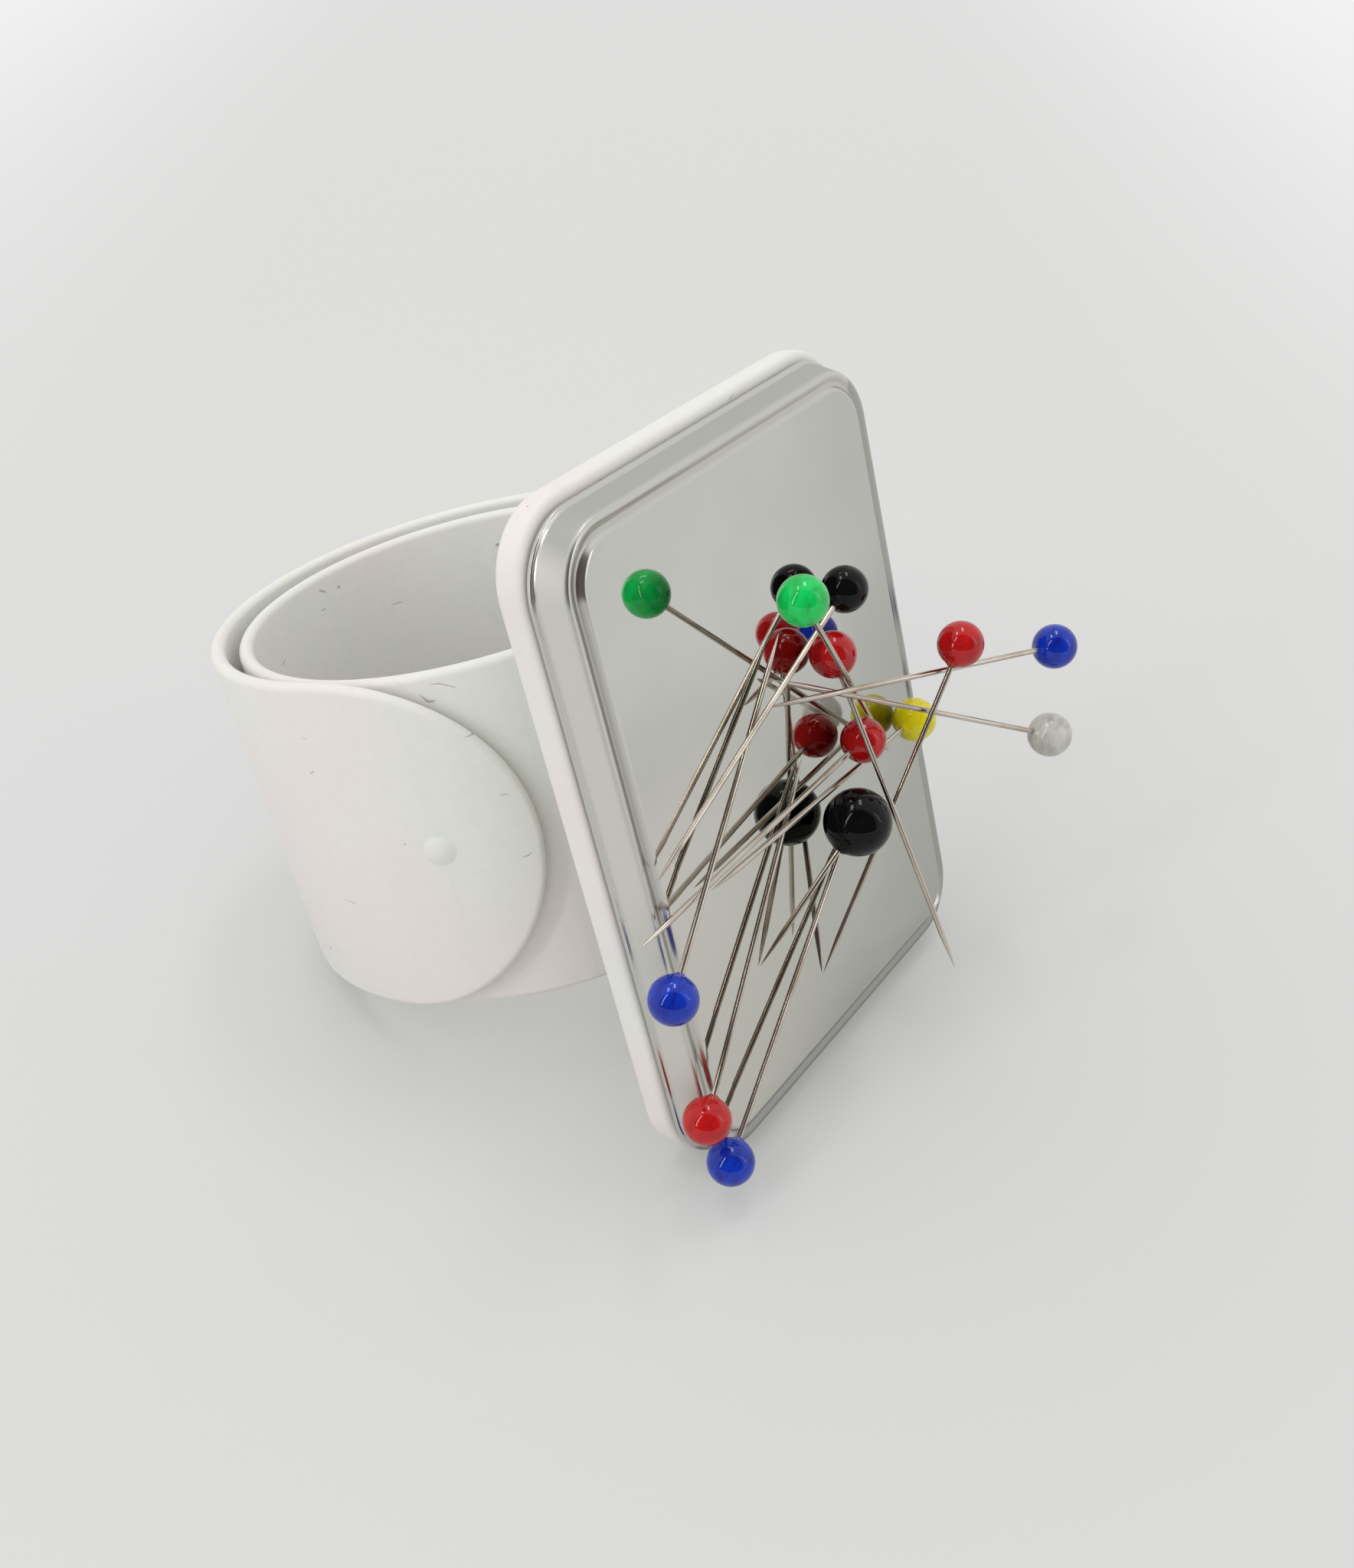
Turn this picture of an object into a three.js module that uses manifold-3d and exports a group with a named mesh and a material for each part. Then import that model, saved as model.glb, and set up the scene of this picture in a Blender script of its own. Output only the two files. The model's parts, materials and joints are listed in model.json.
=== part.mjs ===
// Magnetic wrist pin cushion: a steel pin plate in a silicone tray, on a snap band, with twelve ball head
// pins lying on the plate.
// Millimetres, +Z up. The cushion stands on the tray's lower edge and the coiled band, leaning back.
// The tile frame used below has x across the plate, z up the plate and y from the plate towards the band;
// its origin is the middle of the plate's base plane. The tile frame leans back as the cushion stands.
import * as THREE from 'three';
import * as BufferGeometryUtils from 'three/addons/utils/BufferGeometryUtils.js';
import Module from 'manifold-3d';

const wasm = await Module();
wasm.setup();

// Steel pin plate: one pressed sheet with a ridge round it, a groove and a raised field, open at the back.
// An inset is measured from the hem, and a rise from the plate's base.
const PLATE_WIDTH = 50;
const PLATE_HEIGHT = 66;
const PLATE_CORNER = 7;
const SHEET = 0.4; // thickness of the steel sheet
const HEM = 0.35; // height of the bright hem at the plate's base
const HEM_STEP = 0.25; // the wall starts this far in from the hem
const HEM_ROUND = 0.1; // the hem's face slopes back by this much
const RIDGE_INSET = 1.2; // where the wall's and the ridge's slopes would meet
const RIDGE_RISE = 3.45;
const RIDGE_BEND = 0.7;
const GROOVE_INSET = 2.35;
const GROOVE_RISE = 2.9;
const GROOVE_BEND = 0.5;
const FIELD_INSET = 2.9;
const FIELD_RISE = 3.6;
const FIELD_BEND = 0.6;

// Silicone tray
const LIP = 0.5; // the tray is this much wider and higher than the plate on every side
const TRAY_LIFT = 0.6; // and its middle sits this much above the plate's
const TRAY_THICKNESS = 2.9;
const TRAY_EDGE = 1.0; // radius of the tray's soft edges
const SEAM = 0.3; // dark gap between the plate's base and the tray

// Magnet and its adhesive pad, inside the plate
const MAGNET_MARGIN = 2.6; // the magnet stops this far inside the field's edge
const MAGNET_RECESS = 0.3; // the magnet's back lies this far inside the plate's base
const MAGNET_CORNER = 1.5;
const PAD_MARGIN = 3; // the pad stops this far inside the magnet's edge
const PAD_THICKNESS = 0.5;
const PAD_CORNER = 2;
const FIT = 0.25; // clearance between parts that are bonded or lie against each other

// Band: a silicone sleeve over a steel snap strip, coiled on itself, in links so that it can straighten
const BAND_WIDTH = 36;
const BAND_THICKNESS = 1.5;
const ARM_LENGTH = 142; // from the tray's middle to the tip of each arm
const LINKS_PER_ARM = 7;
const MOUNT_HALF = 8; // half of the length of band that is moulded to the tray
const BAND_FLAT = 1.5; // half of the flat length behind the tray's middle
const BAND_DEPTH = 8.2; // from the plate's base plane to the middle of the band's thickness
const INNER_ARM_RADII = [23.6, 22.7, 21.3]; // coil radius in the first link, the middle and the last link
const OUTER_ARM_LAYERS = [-0.43, 1.96, 1.74]; // its radii exceed the inner arm's by these layers
const LAYER_GAP = 0.34; // least gap between the coil's layers
const OUTER_ARM_CLIMB = 1.2; // the outer arm's tip sits this much higher than the band's middle
const INNER_ARM_CLIMB = 0.4;
const STRIP_WIDTH = 26;
const STRIP_THICKNESS = 0.2;
const STRIP_END = 10; // the steel strip stops this far short of the arm's tip
const STRIP_CORNER = 6; // radius of the strip's rounded end corners
const LINK_GAP = 0.3; // gap between neighbouring links at the hinge
const RELIEF_MARGIN = 1.15; // the links' ends are cut back by this factor more than opening needs
const NUB_FROM_TIP = 9.7;
const NUB_RADIUS = 1.5;
const NUB_RISE = 0.45;
const NUB_ROOT = 0.3; // the nub reaches this far into the sleeve

// Bridge that joins the tray to the band, moulded in one with both
const BRIDGE_HEIGHT = 30;
const BRIDGE_SETBACK = 2; // its sides stop this far short of the first hinges
const BRIDGE_ROOT = 1; // it reaches this far into the tray

// Pins
const PIN_LENGTH = 35.7; // from the point to the middle of the bead
const SHORT_PIN_LENGTH = 17.2;
const SHAFT_RADIUS = 0.28;
const POINT_LENGTH = 4; // length of the tapered point
const BEAD_RADIUS = 2.3;
const BIG_BEAD_RADIUS = 3.4;
const BEAD_BORE = 0.45; // radius of the blind bore in the bead
const BEAD_BORE_DEPTH = 1.6; // how far the shaft runs into the bead
const POINT_SWELL = [0.55, 0.4]; // share of the radius that the point has at this share of its length
// Each pin's point lies at x, z in front of the plate, above its field, all three as shares of PIN_LENGTH,
// with x from the plate's middle, or from its left edge where left is set.
// heading is the direction from the point to the bead, in degrees from +x, and rise the angle between the
// shaft and the plate.
const PINS = [
  { name: 'green_pin', x: 0.465, z: -0.224, above: 0.003, heading: 128.7, rise: 13.7, bead: 'green' },
  { name: 'black_pin', x: -0.655, z: 0.015, above: 0.022, heading: 21.2, rise: 3.4, bead: 'black' },
  { name: 'crossing_red_pin', x: 0.179, z: -0.748, above: 0.277, heading: 90.3, rise: -11.7, bead: 'red' },
  { name: 'lower_red_pin', x: -0.765, z: -0.109, above: 0.014, heading: 2.9, rise: 3.7, bead: 'red' },
  { name: 'yellow_pin', x: -0.479, z: -0.12, above: 0.027, heading: -1.3, rise: 2.5, bead: 'yellow' },
  { name: 'map_pin', x: -0.333, z: -0.454, above: 0.003, heading: 28.8, rise: 13.5, bead: 'black', big: true },
  { name: 'standing_red_pin', x: -0.07, z: -0.655, above: 0.003, heading: 56.8, rise: 17.3, bead: 'red' },
  { name: 'upper_blue_pin', x: -0.106, z: 0.21, above: 0.036, heading: -14.2, rise: 21.5, bead: 'blue' },
  { name: 'pearl_pin', x: -0.048, z: 0.261, above: 0.021, heading: -34.5, rise: 21.7, bead: 'pearl' },
  { name: 'left_blue_pin', x: 0.036, z: 0.353, above: 0.015, heading: 217.4, rise: 3.1, bead: 'blue' },
  { name: 'left_red_pin', left: true, x: 0.736, z: -0.014, above: 0.007, heading: 220.7, rise: 1.8, bead: 'red' },
  { name: 'low_blue_pin', left: true, x: 0.877, z: -0.322, above: 0.007, heading: 211.0, rise: 2.0, bead: 'blue' },
];

const STEEL = { color: 0xb9bbb4, roughness: 0.28, metalness: 0.9 };
const SPRING_STEEL = { color: 0x8f9296, roughness: 0.4, metalness: 0.85 };
const SILICONE = { color: 0xe4e0dc, roughness: 0.62, metalness: 0 };
const FERRITE = { color: 0x3a3a3d, roughness: 0.8, metalness: 0.1 };
const ADHESIVE = { color: 0xd9cfa8, roughness: 0.9, metalness: 0 };
const PIN_STEEL = { color: 0xc9cacc, roughness: 0.2, metalness: 1 };
const BEAD_COLOURS = {
  green: 0x22a565, black: 0x16171a, red: 0xc5202b, yellow: 0xe9c21c, blue: 0x1f4fa8, pearl: 0xf2eee6,
};

// Fineness of the curved faces
const CORNER_STEPS = 5; // on each rounded corner of a plate or tray
const LEAST_CORNER = 0.5; // least radius of such a corner
const WELD = 1e-4; // points closer than this are one
const RIM_STEPS = 4; // on each half round rim of the band
const BEND_STEPS = 2; // on each bend of the plate's sheet
const EDGE_STEPS = 3; // on each soft edge of the tray
const STATION_STEP = 3.4; // along the band
const TIP_STEPS = 6; // on each arm's round tip
const TIP_LAST_ANGLE = 85; // the tip's last section, in degrees round it
const STRIP_CORNER_STEPS = 3;
const PATH_STEP = 0.5; // along the band's middle line
const NUB_SIDES = 12;
const NUB_STEPS = 3;
const BRIDGE_STEPS = 4; // along each half of the bridge's root on the band
const BEAD_SIDES = 14;
const BEAD_STEPS = 8;
const SHAFT_SIDES = 8;

const FIELD_FACE = -FIELD_RISE; // y of the field's face, where the pins lie
const radians = THREE.MathUtils.degToRad;

const tile = new THREE.Group();
const part = new THREE.Group();
part.add(tile);

function addPiece(name, geometry, finish) {
  const mesh = new THREE.Mesh(geometry, new THREE.MeshStandardMaterial(finish));
  mesh.name = name;
  tile.add(mesh);
  return mesh;
}

// Closes a stack of rings, each a list of [x, y, z], with a fan on the first and the last ring.
function loft(rings) {
  const count = rings[0].length;
  const positions = rings.flat(2);
  const index = [];
  for (let r = 0; r + 1 < rings.length; r += 1) {
    for (let i = 0; i < count; i += 1) {
      const a = r * count + i;
      const b = r * count + ((i + 1) % count);
      index.push(a, b, b + count, a, b + count, a + count);
    }
  }
  const last = (rings.length - 1) * count;
  for (let i = 1; i + 1 < count; i += 1) {
    index.push(0, i + 1, i, last, last + i, last + i + 1);
  }
  const geometry = new THREE.BufferGeometry();
  geometry.setAttribute('position', new THREE.Float32BufferAttribute(positions, 3));
  geometry.setIndex(index);
  return geometry;
}

function toManifold(geometry) {
  const bare = geometry.clone();
  bare.deleteAttribute('normal');
  bare.deleteAttribute('uv');
  const merged = BufferGeometryUtils.mergeVertices(bare, WELD);
  return new wasm.Manifold(new wasm.Mesh({
    numProp: 3,
    vertProperties: new Float32Array(merged.attributes.position.array),
    triVerts: new Uint32Array(merged.index.array),
  }));
}

function fromManifold(solid) {
  const mesh = solid.getMesh();
  const geometry = new THREE.BufferGeometry();
  geometry.setAttribute('position', new THREE.Float32BufferAttribute(mesh.vertProperties, 3));
  geometry.setIndex(new THREE.Uint32BufferAttribute(mesh.triVerts, 1));
  return geometry;
}

// A rounded rectangle in the plane y, seen from the front, drawn in from the given size by inset.
function roundedRing(width, height, corner, inset, y) {
  const ring = [];
  const radius = Math.max(corner - inset, LEAST_CORNER);
  for (let quarter = 0; quarter < 4; quarter += 1) {
    const cx = (width / 2 - inset - radius) * (quarter === 0 || quarter === 3 ? 1 : -1);
    const cz = (height / 2 - inset - radius) * (quarter < 2 ? 1 : -1);
    for (let step = 0; step <= CORNER_STEPS; step += 1) {
      const angle = (quarter + step / CORNER_STEPS) * Math.PI / 2;
      ring.push([cx + radius * Math.cos(angle), y, cz + radius * Math.sin(angle)]);
    }
  }
  return ring;
}

// Pin plate

// A line through corners [inset, y, radius], each of which is rounded off.
function roundedProfile(corners) {
  const points = corners.map(([inset, y]) => new THREE.Vector2(inset, y));
  const line = [points[0]];
  for (let i = 1; i + 1 < points.length; i += 1) {
    const back = points[i - 1].clone().sub(points[i]);
    const ahead = points[i + 1].clone().sub(points[i]);
    const half = Math.acos(back.dot(ahead) / (back.length() * ahead.length())) / 2;
    const room = Math.min(back.length(), ahead.length()) / 2;
    const reach = Math.min(corners[i][2] / Math.tan(half), room);
    const start = points[i].clone().add(back.setLength(reach));
    const end = points[i].clone().add(ahead.setLength(reach));
    line.push(...new THREE.QuadraticBezierCurve(start, points[i], end).getPoints(BEND_STEPS));
  }
  line.push(points[points.length - 1]);
  return line;
}

function makePinPlate() {
  const ring = ({ x, y }) => roundedRing(PLATE_WIDTH, PLATE_HEIGHT, PLATE_CORNER, x, y);
  const outside = roundedProfile([
    [0, 0, 0],
    [0, -HEM, HEM_ROUND],
    [HEM_STEP, -HEM - HEM_ROUND, HEM_ROUND],
    [RIDGE_INSET, -RIDGE_RISE, RIDGE_BEND],
    [GROOVE_INSET, -GROOVE_RISE, GROOVE_BEND],
    [FIELD_INSET, FIELD_FACE, FIELD_BEND],
    [FIELD_INSET + FIELD_BEND, FIELD_FACE, 0],
  ]);
  const inside = [
    [HEM_STEP + SHEET, 0],
    [RIDGE_INSET + SHEET, SHEET - GROOVE_RISE],
    [GROOVE_INSET + SHEET, SHEET - GROOVE_RISE],
    [FIELD_INSET + SHEET, SHEET + FIELD_FACE],
  ].map(([x, y]) => ({ x, y }));
  return loft([...inside.reverse(), ...outside].map(ring));
}
addPiece('pin_plate', makePinPlate(), STEEL);

// Magnet and adhesive pad, stacked behind the field
const PAD_FRONT = FIELD_FACE + SHEET + FIT;
const PAD_BACK = PAD_FRONT + PAD_THICKNESS;
const MAGNET_INSET = FIELD_INSET + MAGNET_MARGIN;

// A slab with rounded corners, drawn in from the plate's outline by inset.
function slab(inset, corner, front, back) {
  const width = PLATE_WIDTH - 2 * inset;
  const height = PLATE_HEIGHT - 2 * inset;
  return loft([back, front].map((y) => roundedRing(width, height, corner, 0, y)));
}
addPiece('adhesive_pad', slab(MAGNET_INSET + PAD_MARGIN, PAD_CORNER, PAD_FRONT, PAD_BACK), ADHESIVE);
addPiece('magnet', slab(MAGNET_INSET, MAGNET_CORNER, PAD_BACK + FIT, -MAGNET_RECESS), FERRITE);

// Band path

// The arm's middle line as points { x, y, heading }, every PATH_STEP along it, from the tray's middle.
// side is 1 for the outer arm, which leaves to the right, and -1 for the inner arm, on the left.
function radiusAt(radii, distance) {
  const link = LINKS_PER_ARM * (distance - BAND_FLAT) / (ARM_LENGTH - BAND_FLAT);
  const t = THREE.MathUtils.clamp((link - 0.5) / (LINKS_PER_ARM - 1), 0, 1);
  const [first, middle, last] = radii;
  return first * (1 - t) * (1 - 2 * t) + middle * 4 * t * (1 - t) + last * t * (2 * t - 1);
}

function makePath(side, radii) {
  const steps = Math.round(ARM_LENGTH / PATH_STEP);
  const length = ARM_LENGTH / steps;
  const points = [{ x: 0, y: BAND_DEPTH, heading: side > 0 ? 0 : Math.PI }];
  for (let i = 0; i < steps; i += 1) {
    const from = points[i];
    const distance = (i + 0.5) * length;
    const turn = distance < BAND_FLAT ? 0 : side * length / radiusAt(radii, distance);
    const heading = from.heading + turn / 2;
    points.push({
      x: from.x + length * Math.cos(heading),
      y: from.y + length * Math.sin(heading),
      heading: from.heading + turn,
    });
  }
  return points;
}

// The path's place at a distance along it, between two of its points.
function onPath(arm, distance) {
  const place = THREE.MathUtils.clamp(distance / ARM_LENGTH, 0, 1) * (arm.path.length - 1);
  const i = Math.min(Math.floor(place), arm.path.length - 2);
  const t = place - i;
  const [a, b] = [arm.path[i], arm.path[i + 1]];
  return {
    x: a.x + (b.x - a.x) * t,
    y: a.y + (b.y - a.y) * t,
    heading: a.heading + (b.heading - a.heading) * t,
  };
}

// A point of the band: distance along the arm, out from its middle surface, and across it.
function bandPoint(arm, distance, out, across) {
  const { x, y, heading } = onPath(arm, distance);
  return [
    x + out * arm.side * Math.sin(heading),
    y - out * arm.side * Math.cos(heading),
    across + arm.climb * distance / ARM_LENGTH,
  ];
}

const LAYER_STEP = BAND_THICKNESS + LAYER_GAP;
const OUTER_ARM_RADII = INNER_ARM_RADII.map((radius, i) => radius + OUTER_ARM_LAYERS[i] * LAYER_STEP);
const ARMS = [
  { name: 'outer', side: 1, climb: OUTER_ARM_CLIMB, path: makePath(1, OUTER_ARM_RADII) },
  { name: 'inner', side: -1, climb: INNER_ARM_CLIMB, path: makePath(-1, INNER_ARM_RADII) },
];
const LINK_LENGTH = (ARM_LENGTH - MOUNT_HALF) / LINKS_PER_ARM;
const HALF_THICKNESS = BAND_THICKNESS / 2;
const TIP_RADIUS = BAND_WIDTH / 2;
const SLOT_HALF = STRIP_THICKNESS / 2 + FIT; // half of the sleeve's inner height
const SLOT_WIDTH = STRIP_WIDTH + 2 * FIT;

// Half of the band's width at a distance along the arm: full, then a half circle at the tip.
function halfWidth(distance) {
  const past = distance - (ARM_LENGTH - TIP_RADIUS);
  return past <= 0 ? TIP_RADIUS : Math.sqrt(Math.max(TIP_RADIUS ** 2 - past ** 2, 0));
}

// The sleeve's section as [out, across] with half round rims, counter-clockwise seen along the arm.
function rimSection(half) {
  const section = [];
  for (const end of [1, -1]) {
    for (let step = 0; step <= RIM_STEPS; step += 1) {
      const angle = Math.PI * step / RIM_STEPS;
      section.push([
        end * HALF_THICKNESS * Math.cos(angle),
        end * (half - HALF_THICKNESS + HALF_THICKNESS * Math.sin(angle)),
      ]);
    }
  }
  return section;
}

function slotSection(halfHeight, half) {
  return [[halfHeight, -half], [halfHeight, half], [-halfHeight, half], [-halfHeight, -half]];
}

// A solid swept along an arm: sections[i] is the [out, across] outline at stations[i].
// shift moves a section's points along the arm, as a function of out, for the relief at the link's ends.
function sweep(arm, stations, sectionAt, shift = () => 0) {
  const rings = stations.map((distance, i) => sectionAt(distance).map(([out, across]) => (
    bandPoint(arm, distance + shift(out, i), out, across)
  )));
  if (arm.side > 0) {
    rings.reverse();
  }
  return loft(rings);
}

function stationsBetween(from, to) {
  const count = Math.max(2, Math.round((to - from) / STATION_STEP));
  return Array.from({ length: count + 1 }, (_, i) => from + (to - from) * i / count);
}

// The outer half of a link's end is cut back, so that neighbours clear each other as the band opens.
function hingeRelief(arm, boundary) {
  const before = onPath(arm, Math.max(boundary - LINK_LENGTH / 2, 0)).heading;
  const after = onPath(arm, boundary + LINK_LENGTH / 2).heading;
  return Math.tan(Math.abs(after - before) / 2) * RELIEF_MARGIN;
}

// Stations round a quarter turn of this radius that ends at the distance end, up to lastAngle in degrees
function stationsRound(end, radius, steps, lastAngle) {
  return Array.from({ length: steps }, (_, i) => (
    end - radius + radius * Math.sin(radians(lastAngle * (i + 1) / steps))
  ));
}

// The sleeve of one link, hollow for the strip. from and to are its ends along the arm.
function makeSleeve(arm, from, to, isTip) {
  const stations = stationsBetween(from, isTip ? ARM_LENGTH - TIP_RADIUS : to);
  if (isTip) {
    stations.push(...stationsRound(ARM_LENGTH, TIP_RADIUS, TIP_STEPS, TIP_LAST_ANGLE));
  }
  const startRelief = hingeRelief(arm, from - LINK_GAP / 2);
  const endRelief = isTip ? 0 : hingeRelief(arm, to + LINK_GAP / 2);
  const last = stations.length - 1;
  const shift = (out, i) => {
    if (out <= 0) {
      return 0;
    }
    if (i === 0) {
      return out * startRelief;
    }
    return i === last ? -out * endRelief : 0;
  };
  const body = sweep(arm, stations, (distance) => rimSection(halfWidth(distance)), shift);
  const slotEnd = isTip ? ARM_LENGTH - STRIP_END + FIT : to + LINK_GAP;
  const slotStations = stationsBetween(from - LINK_GAP, slotEnd);
  const slot = sweep(arm, slotStations, () => slotSection(SLOT_HALF, SLOT_WIDTH / 2));
  return toManifold(body).subtract(toManifold(slot));
}

// The steel strip of one link. The arm's last one has rounded corners.
function makeStrip(arm, from, to, isTip) {
  const stations = stationsBetween(from, isTip ? to - STRIP_CORNER : to);
  if (isTip) {
    stations.push(...stationsRound(to, STRIP_CORNER, STRIP_CORNER_STEPS, 90));
  }
  const stripHalf = (distance) => {
    const past = isTip ? Math.max(distance - (to - STRIP_CORNER), 0) : 0;
    return STRIP_WIDTH / 2 - STRIP_CORNER + Math.sqrt(Math.max(STRIP_CORNER ** 2 - past ** 2, 0));
  };
  return sweep(arm, stations, (distance) => slotSection(STRIP_THICKNESS / 2, stripHalf(distance)));
}

// Low round nub on the outside of the outer arm's tip
function makeNub(arm) {
  const profile = [new THREE.Vector2(0, -NUB_ROOT), new THREE.Vector2(NUB_RADIUS, -NUB_ROOT)];
  for (let step = 0; step <= NUB_STEPS; step += 1) {
    const angle = Math.PI / 2 * step / NUB_STEPS;
    profile.push(new THREE.Vector2(NUB_RADIUS * Math.cos(angle), NUB_RISE * Math.sin(angle)));
  }
  const nub = new THREE.LatheGeometry(profile, NUB_SIDES);
  const distance = ARM_LENGTH - NUB_FROM_TIP;
  const foot = new THREE.Vector3(...bandPoint(arm, distance, HALF_THICKNESS, 0));
  const above = new THREE.Vector3(...bandPoint(arm, distance, HALF_THICKNESS + 1, 0));
  const out = above.sub(foot).normalize();
  const turn = new THREE.Quaternion().setFromUnitVectors(new THREE.Vector3(0, 1, 0), out);
  nub.applyMatrix4(new THREE.Matrix4().compose(foot, turn, new THREE.Vector3(1, 1, 1)));
  return toManifold(nub);
}

// Band links

for (const arm of ARMS) {
  for (let link = 0; link < LINKS_PER_ARM; link += 1) {
    const isTip = link === LINKS_PER_ARM - 1;
    const from = MOUNT_HALF + link * LINK_LENGTH + LINK_GAP / 2;
    const to = from + LINK_LENGTH - LINK_GAP;
    let sleeve = makeSleeve(arm, from, to, isTip);
    if (isTip && arm.side > 0) {
      sleeve = sleeve.add(makeNub(arm));
    }
    addPiece(`${arm.name}_sleeve_${link + 1}`, fromManifold(sleeve), SILICONE);
    const stripTo = isTip ? ARM_LENGTH - STRIP_END : to;
    addPiece(`${arm.name}_strip_${link + 1}`, makeStrip(arm, from, stripTo, isTip), SPRING_STEEL);
  }
}

// Silicone tray with its bridge and the length of band that is moulded to it

// The band between the two first hinges, swept from the inner arm to the outer arm
function sweepMount(sectionAt, reach, relief) {
  const count = Math.ceil(reach / STATION_STEP);
  const stations = [];
  for (let i = -count; i <= count; i += 1) {
    stations.push(reach * i / count);
  }
  const rings = stations.map((place) => {
    const arm = place < 0 ? ARMS[1] : ARMS[0];
    const isEnd = Math.abs(place) === reach;
    return sectionAt().map(([out, across]) => {
      const back = isEnd && out > 0 ? out * relief[place < 0 ? 1 : 0] : 0;
      return bandPoint(arm, Math.abs(place) - back, out, across);
    });
  });
  return toManifold(loft(rings.reverse()));
}

function makeTray() {
  const width = PLATE_WIDTH + 2 * LIP;
  const height = PLATE_HEIGHT + 2 * LIP;
  const corner = PLATE_CORNER + LIP;
  const back = SEAM + TRAY_THICKNESS;
  const profile = [];
  for (const [middle, turn] of [[back - TRAY_EDGE, 1], [SEAM + TRAY_EDGE, -1]]) {
    for (let step = 0; step <= EDGE_STEPS; step += 1) {
      const angle = Math.PI / 2 * (turn > 0 ? 1 - step / EDGE_STEPS : step / EDGE_STEPS);
      profile.push([TRAY_EDGE * (1 - Math.cos(angle)), middle + turn * TRAY_EDGE * Math.sin(angle)]);
    }
  }
  const rings = profile.map(([inset, y]) => roundedRing(width, height, corner, inset, y));
  const slabSolid = toManifold(loft(rings)).translate([0, 0, TRAY_LIFT]);

  const reach = MOUNT_HALF - LINK_GAP / 2;
  const relief = ARMS.map((arm) => hingeRelief(arm, MOUNT_HALF));
  const sleeve = sweepMount(() => rimSection(TIP_RADIUS), reach, relief);
  const slot = sweepMount(() => slotSection(SLOT_HALF, SLOT_WIDTH / 2), reach + LINK_GAP, [0, 0]);

  // The bridge reaches from inside the tray to inside the sleeve's outer wall, along the band's curve.
  const wallMiddle = (HALF_THICKNESS + SLOT_HALF) / 2;
  const bridgeHalf = MOUNT_HALF - BRIDGE_SETBACK;
  const outline = new THREE.Shape();
  outline.moveTo(-bridgeHalf, back - BRIDGE_ROOT);
  outline.lineTo(bridgeHalf, back - BRIDGE_ROOT);
  for (let step = BRIDGE_STEPS; step >= -BRIDGE_STEPS; step -= 1) {
    const place = bridgeHalf * step / BRIDGE_STEPS;
    const [x, y] = bandPoint(ARMS[place < 0 ? 1 : 0], Math.abs(place), wallMiddle, 0);
    outline.lineTo(x, y);
  }
  outline.closePath();
  const bridge = new THREE.ExtrudeGeometry(outline, { depth: BRIDGE_HEIGHT, bevelEnabled: false });
  bridge.translate(0, 0, -BRIDGE_HEIGHT / 2);
  return fromManifold(slabSolid.add(toManifold(bridge)).add(sleeve).subtract(slot));
}
addPiece('silicone_tray', makeTray(), SILICONE);

function makeMountStrip() {
  const reach = MOUNT_HALF - LINK_GAP / 2;
  return fromManifold(sweepMount(() => slotSection(STRIP_THICKNESS / 2, STRIP_WIDTH / 2), reach, [0, 0]));
}
addPiece('mount_strip', makeMountStrip(), SPRING_STEEL);

// Pins

// Both halves of a pin are turned about y, with the point at the origin and the bead at +y.
function makeBead(length, radius) {
  const boreMouth = Math.sqrt(radius ** 2 - BEAD_BORE ** 2);
  const profile = [
    new THREE.Vector2(0, length - radius + BEAD_BORE_DEPTH + FIT),
    new THREE.Vector2(BEAD_BORE, length - radius + BEAD_BORE_DEPTH + FIT),
    new THREE.Vector2(BEAD_BORE, length - boreMouth),
  ];
  const start = Math.asin(BEAD_BORE / radius);
  for (let step = 1; step < BEAD_STEPS; step += 1) {
    const angle = start + (Math.PI - start) * step / BEAD_STEPS;
    profile.push(new THREE.Vector2(radius * Math.sin(angle), length - radius * Math.cos(angle)));
  }
  profile.push(new THREE.Vector2(0, length + radius));
  return new THREE.LatheGeometry(profile, BEAD_SIDES);
}

function makeShaft(length, radius) {
  const [swell, place] = POINT_SWELL;
  const end = length - radius + BEAD_BORE_DEPTH;
  return new THREE.LatheGeometry([
    new THREE.Vector2(0, 0),
    new THREE.Vector2(SHAFT_RADIUS * swell, POINT_LENGTH * place),
    new THREE.Vector2(SHAFT_RADIUS, POINT_LENGTH),
    new THREE.Vector2(SHAFT_RADIUS, end),
    new THREE.Vector2(0, end),
  ], SHAFT_SIDES);
}

for (const pin of PINS) {
  const length = pin.big ? SHORT_PIN_LENGTH : PIN_LENGTH;
  const radius = pin.big ? BIG_BEAD_RADIUS : BEAD_RADIUS;
  const heading = radians(pin.heading);
  const rise = radians(pin.rise);
  const along = new THREE.Vector3(
    Math.cos(rise) * Math.cos(heading),
    -Math.sin(rise),
    Math.cos(rise) * Math.sin(heading),
  );
  const turn = new THREE.Quaternion().setFromUnitVectors(new THREE.Vector3(0, 1, 0), along);
  for (const [suffix, geometry, finish] of [
    ['shaft', makeShaft(length, radius), PIN_STEEL],
    ['bead', makeBead(length, radius), { color: BEAD_COLOURS[pin.bead], roughness: 0.15, metalness: 0 }],
  ]) {
    const mesh = addPiece(`${pin.name}_${suffix}`, geometry, finish);
    mesh.quaternion.copy(turn);
    mesh.position.set(pin.x, -pin.above, pin.z).multiplyScalar(PIN_LENGTH);
    mesh.position.x -= pin.left ? PLATE_WIDTH / 2 : 0;
    mesh.position.y += FIELD_FACE;
  }
}

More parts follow.
